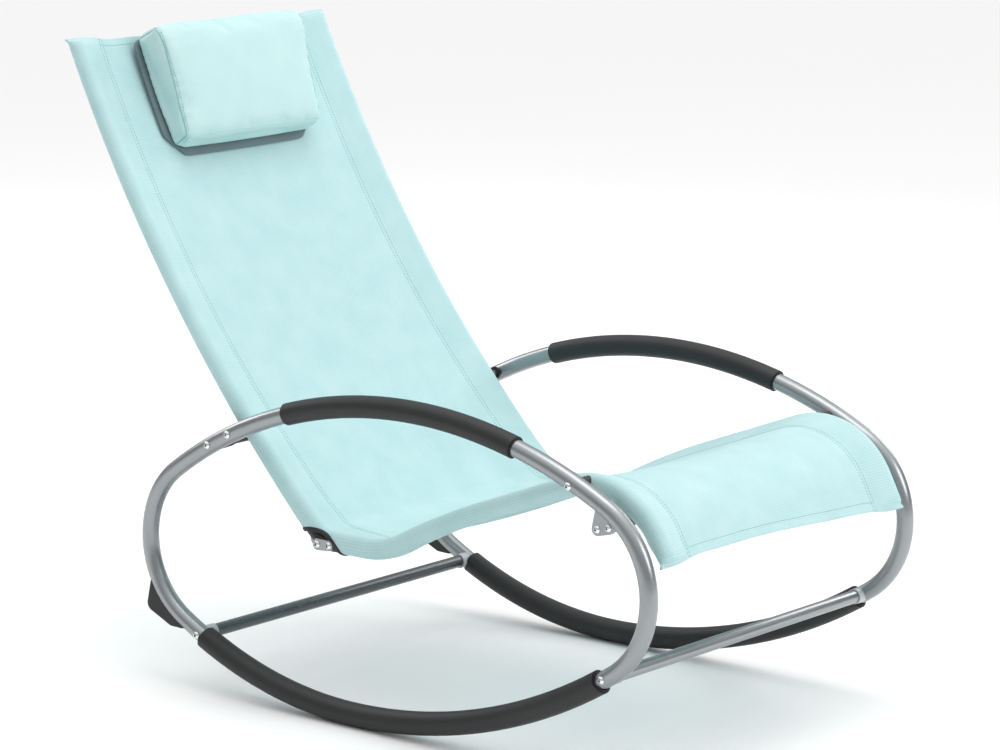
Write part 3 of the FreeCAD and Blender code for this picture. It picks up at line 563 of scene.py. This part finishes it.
rimS, rimAngle = rimCurve()
rimPath = onPocket(rimS, rimAngle, tape["proud"])
rimNormal = onPocket(rimS, rimAngle, tape["proud"] + 0.01) - rimPath
tapeProfile = ovalProfile(tape["half"], tape["thick"], tape["round"])
tapeRows = []
for side in (1, -1):
    band = sweepSection(rimPath * (side, 1, 1), rimNormal * (side, 1, 1), tapeProfile)
    tapeRows.append((band.reshape(-1, 3), tubeFaces(*band.shape[:2])))
tapePiece = newMesh("hip_notch_tape", *joinRows(tapeRows))
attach(tapePiece, "chair")
print("notch tape made")


# Stitches: small capsules laid along a path

stitch = {
    "pitch": 0.0048,
    "length": 0.0036,
    "radius": 0.00042,
    "wide": 1.2,
    "sides": 6,
    "rings": ((-0.5, 0.15), (-0.34, 0.95), (0.34, 0.95), (0.5, 0.15)),  # along, and share of radius
    "above": 0.62,  # of the cloth's thickness
    "hemIn": 0.002,
}


def stitchRow(path, normal):
    # Capsules of four rings set every pitch along the path and half sunk in the cloth
    far = lengthsAlong(path)
    at = np.arange(stitch["pitch"] / 2, far[-1], stitch["pitch"])
    centre = pointsAt(path, far, at)
    ahead = unit(pointsAt(path, far, at + 0.001) - pointsAt(path, far, at - 0.001))
    out = unit(pointsAt(normal, far, at))
    side = np.cross(ahead, out)
    ring = np.arange(stitch["sides"]) * 2 * np.pi / stitch["sides"]
    rows = np.array(stitch["rings"])
    long = rows[:, 0, None] * stitch["length"] * np.ones(len(ring))
    wide = rows[:, 1, None] * stitch["radius"] * stitch["wide"] * np.cos(ring)
    high = rows[:, 1, None] * stitch["radius"] * np.sin(ring)
    verts = (centre[:, None, None] + ahead[:, None, None] * long[..., None]
             + side[:, None, None] * wide[..., None] + out[:, None, None] * high[..., None])
    faces = tubeFaces(len(rows), len(ring))
    return joinRows([(capsule, faces) for capsule in verts.reshape(len(at), -1, 3)])


slingNormal = unit(np.cross(np.gradient(slingGrid, axis=1), np.gradient(slingGrid, axis=0)))
bodyRows = np.flatnonzero(slingUnder == 0)
middleCol = len(colX) // 2
seamCol = sling["panelCols"]
lowSeamCol = len(section[0]) - 2
hemLine = sling["hem"] - stitch["hemIn"]


def clothStitches(rows, cols, up=1):
    # A row of stitches on the cloth's upper face, or on its lower one where up is -1
    path, out = slingGrid[rows, cols], slingNormal[rows, cols]
    out = out * np.sign(out[:, 2:]) * up
    return stitchRow(path + out * sling["thick"] * stitch["above"], out)


sewnCols = ((seamCol, 1), (seamCol - 1, 1), (lowSeamCol, -1), (lowSeamCol + 1, -1))
stitchRows = [clothStitches(bodyRows, middleCol + side * col, up)
              for side in (1, -1) for col, up in sewnCols]
panelRange = np.arange(middleCol - seamCol, middleCol + seamCol + 1)
for hemAt in (slingStart + hemLine, slingEnd - hemLine):
    hemRow = bodyRows[np.searchsorted(slingS[bodyRows], hemAt)]
    stitchRows.append(clothStitches(hemRow, panelRange))
stitchPiece = newMesh("sling_stitches", *joinRows(stitchRows))
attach(stitchPiece, "chair")
print("stitches made:", len(stitchPiece.data.polygons), "faces")


# Head pillow: a stuffed cushion on a flat slate backing, hooked over the head edge by a strap. The
# backing's dark slate, seen as a band at the cushion's left and lower edges, is painted shadow of
# the pillow

pillow = {
    "width": 0.318,
    "height": 0.188,
    "aside": 0.003,  # it hangs a little off the middle
    "belowHead": 0.0040,
    "headEdge": 0.8215,  # up the back from the hip
    "topThick": 0.075,
    "footThick": 0.036,
    "crown": 0.006,
    "lean": 0.010,  # the pillow stands off the panel towards its top
    "taper": 0.008,  # each side comes in by this at the foot
    "squareness": 36,  # power of the oval seen from the front, higher is squarer
    "edgePower": 13,  # the same for its edges in side view
    "softer": 9.3,  # less of it at the top front
    "cornerDrop": 0.004,
    "sideDrop": 0.05,
    "onLining": 0.0009,
    "voxel": 0.005,
    "pressure": 4.0,
    "frames": 20,
    "cap": 0.0045,
    "stillBack": (0.004, 0.02),  # depth over which the swelling grows from none to all
}
piping = {
    "in": 0.002,
    "step": 0.003,
    "half": 0.0010,
    "high": 0.0009,
    "sides": 6,
    "dent": 0.0016,
    "dentWidth": 0.004,
    "gather": 0.0009,
    "gatherWidth": 0.016,
    "gatherWave": 0.021,
    "along": (0.3, 1.0, 1.1),
    "stitchesIn": 0.006,
}
lining = {
    "thick": 0.0045,
    "pastSide": 0.002,
    "drop": 0.009,
    "chamfer": 0.034,
    "below": 0.009,
    "edge": 0.0026,
    "offCloth": 0.0003,
    "soften": 10,
}
strap = {
    # Side view of its line: how far up the back, and off the panel's face
    "onLining": ((-0.006, 0.0115), (0.0, 0.0105)),  # up from the lining's top
    "overEdge": ((-0.0015, 0.0016), (0.0022, 0.0010), (0.0032, -0.0012), (0.0022, -0.0034),
                 (-0.0040, -0.0038), (-0.040, -0.0038)),  # up from the head edge
    "width": 0.120,
    "thick": 0.0018,
    "rows": 90,
    "cols": 15,
}

pillowTop = pillow["headEdge"] - pillow["belowHead"]
pillowFoot = pillowTop - pillow["height"]
liningTop = pillowTop - lining["below"]
liningFoot = pillowFoot - lining["drop"]
sagRadius = (seamX ** 2 + sling["sag"] ** 2) / (2 * sling["sag"])


def panelFace(x):
    # How far forward of the rails' line the panel's front lies, part of a wide circle
    return 0.001 - sling["sag"] + sagRadius - np.sqrt(sagRadius ** 2 - np.asarray(x, float) ** 2)


def pillowBack(x, up):
    # The back of the lining: off the panel in step with the height above the lining's foot
    return panelFace(x) + pillow["lean"] * (up - liningFoot) / (pillowTop - liningFoot)


def onBack(up, x, forward):
    # A point up the back from the hip, x across and forward off the rails' line
    return onLine(hipEnd + np.asarray(up, float), x, forward)


def cushionShape(rows=110, cols=120):
    # A closed rounded box, x across and a loop of up and forward round it that shrinks only close
    # to the sides. Cosine and sine of the loop are raised to a small power, which is larger at
    # the front's top, where it is rounder, and the width tapers a little towards the foot
    halfWidth = pillow["width"] / 2
    across = np.linspace(-1, 1, rows)
    loop = np.arange(cols) * 2 * np.pi / cols
    across, turn = np.meshgrid(np.sign(across) * (1 - (1 - np.abs(across)) ** 3), loop,
                               indexing="ij")
    x = halfWidth * across
    shrink = (1 - np.abs(across) ** pillow["squareness"]) ** (1 / pillow["squareness"])
    power = pillow["edgePower"] - pillow["softer"] * rise(0.2, 1.0, np.cos(turn - np.pi / 4))
    up = rounded(np.sin(turn), power) * shrink
    fore = rounded(np.cos(turn), power) * shrink
    side = np.abs(x) / halfWidth
    where = ((pillowTop + pillowFoot) / 2
             + up * (pillow["height"] / 2 - pillow["cornerDrop"] * side ** 6))
    share = (where - pillowFoot) / pillow["height"]
    front = pillow["footThick"] + (pillow["topThick"] - pillow["footThick"]) * share
    front = front * (1 - pillow["sideDrop"] * side ** 4)
    front = front + pillow["crown"] * (1 - side ** 2) * (1 - up ** 2)
    place = x * (1 - pillow["taper"] * (1 - share) / halfWidth) + pillow["aside"]
    back = pillowBack(place, where) + lining["thick"] + pillow["onLining"]
    forward = back + (front - back) * (fore + 1) / 2
    return onBack(where, place, forward), x, where, forward


def puffUp(piece):
    # The cover is remeshed evenly and blown up a little as cloth, and no point moves past the cap
    remesh = piece.modifiers.new("even", "REMESH")
    remesh.mode = "VOXEL"
    remesh.voxel_size = pillow["voxel"]
    even = applied(piece)
    piece.modifiers.clear()
    piece.data = even
    before = vertsOf(even)
    after = before.copy()
    cloth = piece.modifiers.new("cloth", "CLOTH")
    cloth.settings.use_pressure = True
    cloth.settings.uniform_pressure_force = pillow["pressure"]
    cloth.settings.effector_weights.gravity = 0
    cloth.point_cache.frame_start = 1
    cloth.point_cache.frame_end = pillow["frames"]
    for frameNumber in range(1, pillow["frames"] + 1):
        scene.frame_set(frameNumber)
    after = vertsOf(applied(piece))
    piece.modifiers.clear()
    scene.frame_set(1)
    move = after - before
    size = np.linalg.norm(move, axis=1, keepdims=True)
    move *= np.minimum(1, pillow["cap"] / np.maximum(size, 1e-9))
    return before, move


def treeOf(verts, faces):
    return BVHTree.FromPolygons([tuple(v) for v in verts], faces)


def makeCushion():
    grid = cushionShape()[0]
    piece = newMesh("pillow_cushion_cover", grid, gridFaces(*grid.shape[:2], closeCols=True),
                    weld=1e-5)
    before, move = puffUp(piece)
    # The back lies on its lining, so points near it don't move backwards or far
    middle = (pillowTop + pillowFoot) / 2
    turn = railLine(hipEnd + middle)[2]
    depth = (before - onBack(middle, 0.0, 0.0)) @ np.array([0, -np.sin(turn), np.cos(turn)])
    move *= rise(*pillow["stillBack"], depth - depth.min())[:, None]
    setVerts(piece.data, before + move)
    subdivide = piece.modifiers.new("smooth", "SUBSURF")
    subdivide.levels = subdivide.render_levels = 1
    finer = applied(piece)
    piece.modifiers.clear()
    piece.data = finer
    return piece


def seamLoop(side, inset):
    # Round the cushion's side: a loop of its section a little inside the widest point, from the
    # back at the top, over the front and down to the back at the foot
    grid, x, where, forward = cushionShape(241, 256)
    row = np.argmin(np.abs(x[:, 0] - side * (pillow["width"] / 2 - inset)))
    start = np.argmax(where[row] - forward[row])
    loop, ups, fores = [np.roll(values[row], -start, 0) for values in (grid, where, forward)]
    if fores[20] < fores[0]:
        loop, ups, fores = loop[::-1], ups[::-1], fores[::-1]
    end = np.argmin(ups + fores)
    return loop[2:end - 2]


def onSurface(points, tree):
    # Each point and its normal, carried to the nearest place on a surface
    found = [tree.find_nearest(Vector(p)) for p in points]
    return (np.array([tuple(hit[0]) for hit in found]), np.array([tuple(hit[1]) for hit in found]))


def evenly(path, step):
    # The same path with points set at an even step
    far = lengthsAlong(path)
    return pointsAt(path, far, np.arange(0, far[-1], step))


def eased(values, times):
    # A path's small jitter averaged away, its two ends kept
    for _ in range(times):
        values = np.concatenate([values[:1], (values[:-2] + 2 * values[1:-1] + values[2:]) / 4,
                                 values[-1:]])
    return values


cushionPiece = makeCushion()
cushionMesh = cushionPiece.data
cushionVerts = vertsOf(cushionMesh)
cushionFaces = [tuple(face.vertices) for face in cushionMesh.polygons]
cushionTree = treeOf(cushionVerts, cushionFaces)
seams = [onSurface(evenly(seamLoop(side, piping["in"]), piping["step"]), cushionTree)
         for side in (1, -1)]
seamPoints = np.concatenate([path for path, out in seams])
nearest = np.full(len(cushionVerts), 1.0)
for first in range(0, len(seamPoints), 40):
    away = cushionVerts[:, None] - seamPoints[None, first:first + 40]
    nearest = np.minimum(nearest, np.sqrt((away ** 2).sum(-1)).min(1))
# The seam draws the cover in, and the cloth beside it gathers in small waves
dent = piping["dent"] * np.exp(-(nearest / piping["dentWidth"]) ** 2)
gather = (piping["gather"] * np.exp(-(nearest / piping["gatherWidth"]) ** 2)
          * ripple(cushionVerts @ piping["along"], piping["gatherWave"], 6))
cushionVerts = cushionVerts - vertsOf(cushionMesh, "normal") * (dent - gather)[:, None]
setVerts(cushionMesh, cushionVerts)
cushionTree = treeOf(cushionVerts, cushionFaces)
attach(cushionPiece, "pillow")
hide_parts("pillow_cushion")
print("cushion made:", len(cushionMesh.polygons), "faces")

pipes, pillowRows = [], []
pipeProfile = ovalProfile(piping["half"], piping["high"], piping["sides"], 2.0)
for path, out in seams:
    path, out = eased(path, 6), eased(out, 12)
    path = eased(onSurface(path, cushionTree)[0], 3)
    pipe = sweepSection(path + out * 0.0002, out, pipeProfile)
    pipes.append((pipe.reshape(-1, 3), tubeFaces(*pipe.shape[:2])))
    inward = np.array([-np.sign(path[:, 0].mean() - pillow["aside"]), 0, 0])
    beside, besideOut = onSurface(path + inward * piping["stitchesIn"] + out * 0.001, cushionTree)
    besideOut = eased(besideOut, 4)
    pillowRows.append(stitchRow(eased(beside, 3) + besideOut * 0.0002, besideOut))
pipePiece = newMesh("pillow_seams", *joinRows(pipes))
pillowStitches = newMesh("pillow_stitches", *joinRows(pillowRows))
for piece in (pipePiece, pillowStitches):
    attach(piece, "pillow")
print("pillow seams made")


def makeLining(count=40, rings=14, turns=9):
    # A flat pad with its two lower corners cut off: one outline shrunk towards its middle makes
    # the front and the back, and a half turn between them rounds the edge
    half = pillow["width"] / 2 + lining["pastSide"]
    cut = lining["chamfer"]
    corners = np.array([(-half, liningTop), (-half, liningFoot + cut), (-half + cut, liningFoot),
                        (half - cut, liningFoot), (half, liningFoot + cut), (half, liningTop)])
    share = np.linspace(0, 1, count, endpoint=False)[:, None]
    outline = np.concatenate([here + (there - here) * share
                              for here, there in zip(corners, np.roll(corners, -1, 0))])
    for _ in range(lining["soften"]):
        outline = (np.roll(outline, 1, 0) + 2 * outline + np.roll(outline, -1, 0)) / 4
    middle = np.array([0.0, (liningTop + liningFoot) / 2])
    spokes = outline - middle
    reach = np.linalg.norm(spokes, axis=1)
    turn = np.linspace(0, np.pi, turns)
    flat = np.linspace(0.002, 1, rings)[:-1]
    scale = np.concatenate([flat, np.ones(turns), flat[::-1]])
    bulge = np.concatenate([np.zeros(rings - 1), np.sin(turn), np.zeros(rings - 1)])
    depth = np.concatenate([np.ones(rings - 1), np.cos(turn), -np.ones(rings - 1)])
    length = scale[:, None] * (reach - lining["edge"])[None] + lining["edge"] * bulge[:, None]
    place = middle + spokes[None] / reach[None, :, None] * length[..., None]
    x, up = place[..., 0] + pillow["aside"], place[..., 1]
    forward = pillowBack(x, up) + lining["offCloth"] + lining["thick"] / 2 * (1 + depth[:, None])
    # The pad's dark slate colour is painted shadow of the pillow: it shows as a band at the
    # cushion's left and lower edges
    return newMesh("pillow_backing_shadow_pad", onBack(up, x, forward), tubeFaces(*x.shape))


liningPiece = makeLining()
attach(liningPiece, "pillow")
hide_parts("pillow_lining")
print("pillow backing made")


def makeStrap():
    # A line in side view, given as up the back and off the panel's face, smoothed at its corners
    # and carried across the strap's width: from the lining up the panel, over its edge and down
    line = np.array([(liningTop + up, off) for up, off in strap["onLining"]]
                    + [(pillow["headEdge"] + up, off) for up, off in strap["overEdge"]])
    far = lengthsAlong(line)
    at = np.linspace(0, far[-1], strap["rows"])
    line = eased(pointsAt(line, far, at), 8)
    across = np.linspace(-strap["width"] / 2, strap["width"] / 2, strap["cols"])
    up, x = np.meshgrid(line[:, 0], across, indexing="ij")
    grid = onBack(up, x + pillow["aside"], panelFace(x + pillow["aside"]) + line[:, 1:2])
    length = lengthsAlong(grid[:, strap["cols"] // 2])[-1]
    uv = np.stack([x, np.broadcast_to((at / far[-1] * length)[:, None], x.shape)], -1)
    piece = newPiece("pillow_strap_band", grid, gridFaces(*x.shape), uv)
    giveThickness(piece, strap["thick"])
    return piece, float(length)


strapPiece, strapLength = makeStrap()
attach(strapPiece, "pillow")
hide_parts("pillow_strap")
print("strap made: %.3f m" % strapLength)


# Dark cups set in the bolts' hexagon sockets: painted shade in the sockets' recesses

socket = {"across": 0.0039, "depth": 0.0019, "rim": 0.0004, "crown": 0.0016, "apart": 0.006}


def boltCentres(node):
    # Middles of the heads on the left, from the mesh points near each head's crown, split where
    # they lie more than 6 mm apart
    verts = vertsOf(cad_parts[node].data)
    outmost = verts[:, 0].max()
    crown = verts[verts[:, 0] > outmost - socket["crown"]]
    crown = crown[np.argsort(crown[:, 1])]
    heads = np.split(crown, np.flatnonzero(np.diff(crown[:, 1]) > socket["apart"]) + 1)
    return [(outmost, *((head[:, 1:].min(0) + head[:, 1:].max(0)) / 2)) for head in heads]


def socketCup(centre, side):
    # A hexagonal cup open outwards: a floor and six walls just inside the socket
    turn = np.arange(6) * np.pi / 3
    ring = socket["across"] / math.sqrt(3)
    y, z = centre[1] + ring * np.cos(turn), centre[2] + ring * np.sin(turn)
    floorX, rimX = centre[0] - socket["depth"], centre[0] - socket["rim"]
    verts = np.concatenate([np.stack([np.full(6, v) * side, y, z], -1) for v in (floorX, rimX)])
    faces = [[k, (k + 1) % 6, 6 + (k + 1) % 6, 6 + k] for k in range(6)] + [list(range(6))]
    return verts, faces


cups = [socketCup(centre, side) for node in ("crossbar_bolts", "back_bar_bolts", "seat_bolts",
                                              "hip_bolts", "knee_bar_bolts")
        for centre in boltCentres(node) for side in (1, -1)]
cupPiece = newMesh("bolt_socket_shade_cups", *joinRows(cups), smooth=False)
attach(cupPiece, "chair")
print("socket cups made:", len(cups))


# Lights and the floor

scene.view_settings.view_transform = "Standard"  # shows the cloth's colours as they are
lights = [
    # name, place, size, power, colour
    ("overhead", (-0.1, -0.3, 3.2), 1.6, 18, "#FFFFFF"),
    ("front", (0.9, -4.0, 2.3), 2.0, 52, "#FFFFFF"),
    ("side", (3.4, -0.4, 2.0), 1.4, 24, "#FFFFFF"),
    ("behind", (0.2, 3.8, 2.4), 1.8, 34, "#FFFFFF"),
]
sky = {"horizon": 0.34, "top": 1.62}  # bright overhead, so that sides and tubes keep their shade
lampsFace = Vector((0, 0, 0.4))
floorHalf = 30


def linear(hexColour, share=1):
    # sRGB hex to linear values, made lighter or darker by a share, with an alpha of 1
    channels = [int(hexColour[k:k + 2], 16) / 255 for k in (1, 3, 5)]
    values = [c / 12.92 if c <= 0.04045 else ((c + 0.055) / 1.055) ** 2.4 for c in channels]
    return [min(1, v * share) for v in values] + [1.0]


for name, place, size, power, colour in lights:
    lamp = bpy.data.lights.new(name, "AREA")
    lamp.size = size
    lamp.energy = power
    lamp.color = linear(colour)[:3]
    lampObject = linkPiece(name, lamp)
    lampObject.location = place
    lampObject.rotation_euler = (lampsFace - Vector(place)).to_track_quat("-Z", "Y").to_euler()

world = bpy.data.worlds.new("studio")
scene.world = world
world.use_nodes = True
skyTree = world.node_tree
backdrop = skyTree.nodes["Background"]
backdrop.inputs["Color"].default_value = linear("#FFFFFF")

floorCorners = np.array([(-1, -1, 0), (1, -1, 0), (1, 1, 0), (-1, 1, 0)]) * floorHalf
floor = newPiece("floor", floorCorners, [(0, 1, 2, 3)], smooth=False)


# Materials

def addNode(tree, kind, inputs=None, **settings):
    # One node with its settings; an input is a plain value or the socket it is linked from
    node = tree.nodes.new("ShaderNode" + kind)
    for key, value in settings.items():
        setattr(node, key, value)
    for key, value in (inputs or {}).items():
        if isinstance(value, bpy.types.NodeSocket):
            tree.links.new(value, node.inputs[key])
        else:
            node.inputs[key].default_value = value
    return node


def noise(tree, place, size, detail):
    # A noise whose blotches are about the size given in metres
    inputs = {"Vector": place, "Scale": 1 / size, "Detail": detail}
    return addNode(tree, "TexNoise", inputs).outputs["Fac"]


def spanned(tree, value, low, high, fromLow=0.3, fromHigh=0.7):
    # The middle of a noise stretched out between two values
    inputs = {0: value, 1: fromLow, 2: fromHigh, 3: low, 4: high}
    return addNode(tree, "MapRange", inputs).outputs[0]


def blended(tree, share, first, second):
    return addNode(tree, "Mix", {0: share, 6: first, 7: second}, data_type="RGBA").outputs[2]


def bumped(tree, height, strength, distance=0.0002):
    inputs = {"Height": height, "Strength": strength, "Distance": distance}
    return addNode(tree, "Bump", inputs).outputs[0]


def worked(tree, operation, first, second=0.5, **settings):
    return addNode(tree, "Math", {0: first, 1: second}, operation=operation, **settings).outputs[0]


# The sky's strength grows with the square of the direction's height
upward = addNode(skyTree, "SeparateXYZ", {0: addNode(skyTree, "TexCoord").outputs["Generated"]})
square = worked(skyTree, "POWER", worked(skyTree, "MAXIMUM", upward.outputs[2], 0.0), 2.0)
strength = spanned(skyTree, square, sky["horizon"], sky["top"], 0.0, 1.0)
skyTree.links.new(strength, backdrop.inputs["Strength"])
print("lights and floor set")


def startMaterial(name, sheet=False):
    # A new material and the place its patterns follow: the sheet's own map, or the object
    material = bpy.data.materials.new(name)
    material.use_nodes = True
    tree = material.node_tree
    tree.nodes.clear()
    if sheet:
        return material, tree, addNode(tree, "UVMap", uv_map="cloth").outputs["UV"]
    return material, tree, addNode(tree, "TexCoord").outputs["Object"]


def endMaterial(material, look):
    # One principled surface with the look given, and its output
    surface = addNode(material.node_tree, "BsdfPrincipled", look)
    addNode(material.node_tree, "OutputMaterial", {"Surface": surface.outputs[0]})
    return material


def powderCoat(name, colour, metallic, roughness):
    # Polyester powder sprayed on steel tube and baked: an even satin skin whose orange peel is
    # about 1.5 mm across, with flakes under 0.5 mm that show only as a faint unevenness
    material, tree, place = startMaterial(name)
    peel = noise(tree, place, 0.0015, 2.0)
    cloud = noise(tree, place, 0.06, 3.0)
    shade = spanned(tree, cloud, 0.0, 1.0)
    return endMaterial(material, {
        "Base Color": blended(tree, shade, linear(colour, 0.97), linear(colour, 1.03)),
        "Metallic": metallic, "Roughness": spanned(tree, cloud, roughness - 0.02, roughness + 0.03),
        "Normal": bumped(tree, peel, 0.06), "Coat Weight": 0.15, "Coat Roughness": 0.25})


def sleeveRubber(name, colour):
    # Moulded PVC sleeve: near black, dry and slightly grained, so its highlight is wide and dim
    material, tree, place = startMaterial(name)
    grain = noise(tree, place, 0.0012, 3.0)
    dust = spanned(tree, noise(tree, place, 0.09, 2.0), 0.0, 1.0, 0.35)
    return endMaterial(material, {
        "Base Color": blended(tree, dust, linear(colour), linear(colour, 1.35)),
        "Roughness": spanned(tree, grain, 0.46, 0.62, 0.2, 0.8), "IOR": 1.5,
        "Normal": bumped(tree, grain, 0.25)})


def platedMetal(name, colour, roughness, streak):
    # Bright plated steel: a metal mirror broken up a little by the turning marks under the plate
    material, tree, place = startMaterial(name)
    marks = noise(tree, place, 0.0008, 2.0)
    return endMaterial(material, {
        "Base Color": linear(colour), "Metallic": 1.0,
        "Roughness": spanned(tree, marks, roughness, roughness + streak)})


def mouldedPlastic(name, colour, roughness):
    # Injection-moulded polypropylene: even colour and a fine spark-eroded grain of about 0.8 mm
    material, tree, place = startMaterial(name)
    grain = noise(tree, place, 0.0008, 2.0)
    return endMaterial(material, {
        "Base Color": linear(colour), "IOR": 1.49, "Normal": bumped(tree, grain, 0.15),
        "Roughness": spanned(tree, grain, roughness - 0.06, roughness + 0.06)})


def wovenMesh(name, light, dark, pitch, sheen, onSheet=True):
    # PVC-coated polyester yarn in a slant weave: half of the pattern is a plain grid and half
    # slant lines. The real yarns lie about 1.2 mm apart, and they are drawn at the pitch given,
    # coarse enough to show at this size. On a sheet they follow its map. On a stuffed piece they
    # follow Object coordinates: across less 0.9 of forward, and up plus 0.9 of forward
    material, tree, place = startMaterial(name, onSheet)
    first, second, third = addNode(tree, "SeparateXYZ", {0: place}).outputs
    if not onSheet:
        lean = worked(tree, "MULTIPLY", second, 0.9)
        first = worked(tree, "SUBTRACT", first, lean)
        second = worked(tree, "ADD", third, lean)
    across = worked(tree, "MULTIPLY", first, math.pi / pitch)
    along = worked(tree, "MULTIPLY", second, math.pi / pitch)
    sines = [worked(tree, "ABSOLUTE", worked(tree, "SINE", angle))
             for angle in (across, along, worked(tree, "ADD", across, along))]
    grid = worked(tree, "MULTIPLY", sines[0], sines[1])
    lines = addNode(tree, "Mix", {0: 0.5, 2: grid, 3: sines[2]}).outputs[0]
    fade = spanned(tree, noise(tree, place, 0.05, 4.0), -0.12, 0.12)
    mixed = worked(tree, "ADD", lines, fade, use_clamp=True)
    return endMaterial(material, {
        "Base Color": blended(tree, mixed, linear(dark), linear(light)), "Roughness": 0.72,
        "IOR": 1.45, "Sheen Weight": sheen, "Sheen Roughness": 0.5,
        "Normal": bumped(tree, lines, 0.35, 0.0004)})


def sewingThread(name, colour):
    # Bonded polyester thread or woven tape: a slight gloss, and plies about 0.6 mm apart
    material, tree, place = startMaterial(name)
    ply = noise(tree, place, 0.0006, 1.0)
    return endMaterial(material, {
        "Base Color": blended(tree, ply, linear(colour, 0.8), linear(colour)),
        "Roughness": 0.5, "IOR": 1.5})


def paintedFloor(name, colour):
    # Matt painted studio floor: pale and even, with a very slight mottling of about 1.4 m
    material, tree, place = startMaterial(name)
    cloud = noise(tree, place, 1 / 0.7, 3.0)
    return endMaterial(material, {
        "Base Color": blended(tree, cloud, linear(colour), linear(colour, 0.985)),
        "Roughness": 0.9})


materials = {
    "silver": powderCoat("satin_silver_powder_coat", "#989C9E", 0.85, 0.30),
    # The rear crossbar is the same silver as the front one; this darker copy is painted shade, for
    # the dark it faces and reflects
    "paintedShadeSilver": powderCoat("silver_powder_coat_painted_shade", "#5F6668", 0.7, 0.28),
    "black": powderCoat("satin_black_powder_coat", "#1B1C1E", 0.1, 0.42),
    "sleeve": sleeveRubber("moulded_pvc_sleeve", "#18191A"),
    "chrome": platedMetal("chrome_plate", "#E6E8EA", 0.07, 0.08),
    "zinc": platedMetal("zinc_plate", "#B4B7BA", 0.28, 0.12),
    "plug": mouldedPlastic("moulded_black_polypropylene", "#26282A", 0.5),
    "collar": mouldedPlastic("moulded_grey_polypropylene", "#B9BDC0", 0.42),
    "slingMesh": wovenMesh("aqua_coated_polyester_mesh", "#C2DDDF", "#97C4C6", 0.0034, 0.12),
    "pillowMesh": wovenMesh("aqua_pillow_mesh", "#CAE2E2", "#A4CDCD", 0.0034, 0.12,
                            onSheet=False),
    # The slate of the backing pad is painted shadow of the pillow along its left and lower edges
    "slateMesh": wovenMesh("slate_backing_painted_shadow_mesh", "#74888D", "#4E6166", 0.0028, 0.1,
                           onSheet=False),
    "thread": sewingThread("bonded_aqua_thread", "#8FC4C2"),
    # The notch tape's near black is partly the black rail's colour and partly painted shade inside
    # the pocket
    "tape": sewingThread("black_tape_and_painted_shade", "#1C1D1F"),
    # Near-black cups in the bolts' sockets: painted shade of the recess, not a finish of the bolt
    "socketShade": mouldedPlastic("painted_socket_shade", "#0E0F10", 0.6),
    "strapMesh": wovenMesh("slate_strap_mesh", "#74888D", "#4E6166", 0.0028, 0.1),
    "floor": paintedFloor("matt_studio_floor", "#FAFAFA"),
}


def pairs(*names):
    return [side + name for name in names for side in ("left_", "right_")]


nodeFinish = {
    "silver": [*pairs("hoop_tube"), "front_crossbar", "ring_gussets", "hip_plates",
               "hip_hangers", "knee_bar_flanges"],
    # The rear crossbar gets the darker copy of the silver: painted shade
    "paintedShadeSilver": ["rear_crossbar"],
    "black": [*pairs("rocker_tube", "seat_rail", "back_rail"), "back_bar", "back_bar_plates",
              "knee_bar", "hip_stretcher", "head_stretcher"],
    "sleeve": pairs("rocker_sleeve", "arm_sleeve", "stop_block"),
    "collar": ["crossbar_collars"],
    "plug": ["seat_spacers", "rail_foot_plugs", "rail_head_plugs"],
    "chrome": ["crossbar_bolts", "back_bar_bolts", "seat_bolts", "hip_bolts", "knee_bar_bolts",
               "back_rail_bolts"],
    "zinc": ["hex_nuts", "rivet_nuts", "crossbar_end_nuts", "knee_bar_end_nuts"],
    "slingMesh": ["sling"],
    "pillowMesh": ["pillow_cushion"],
    "slateMesh": ["pillow_lining", "pillow_strap"],
}


def dress(piece, key):
    piece.data.materials.clear()
    piece.data.materials.append(materials[key])


for key, names in nodeFinish.items():
    for name in names:
        dress(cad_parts[name], key)
for piece, key in ((slingPiece, "slingMesh"), (tapePiece, "tape"), (stitchPiece, "thread"),
                   (cushionPiece, "pillowMesh"), (pipePiece, "thread"), (pillowStitches, "thread"),
                   (liningPiece, "slateMesh"), (strapPiece, "strapMesh"),
                   (cupPiece, "socketShade")):
    dress(piece, key)
dress(floor, "floor")
print("materials set:", len(materials))
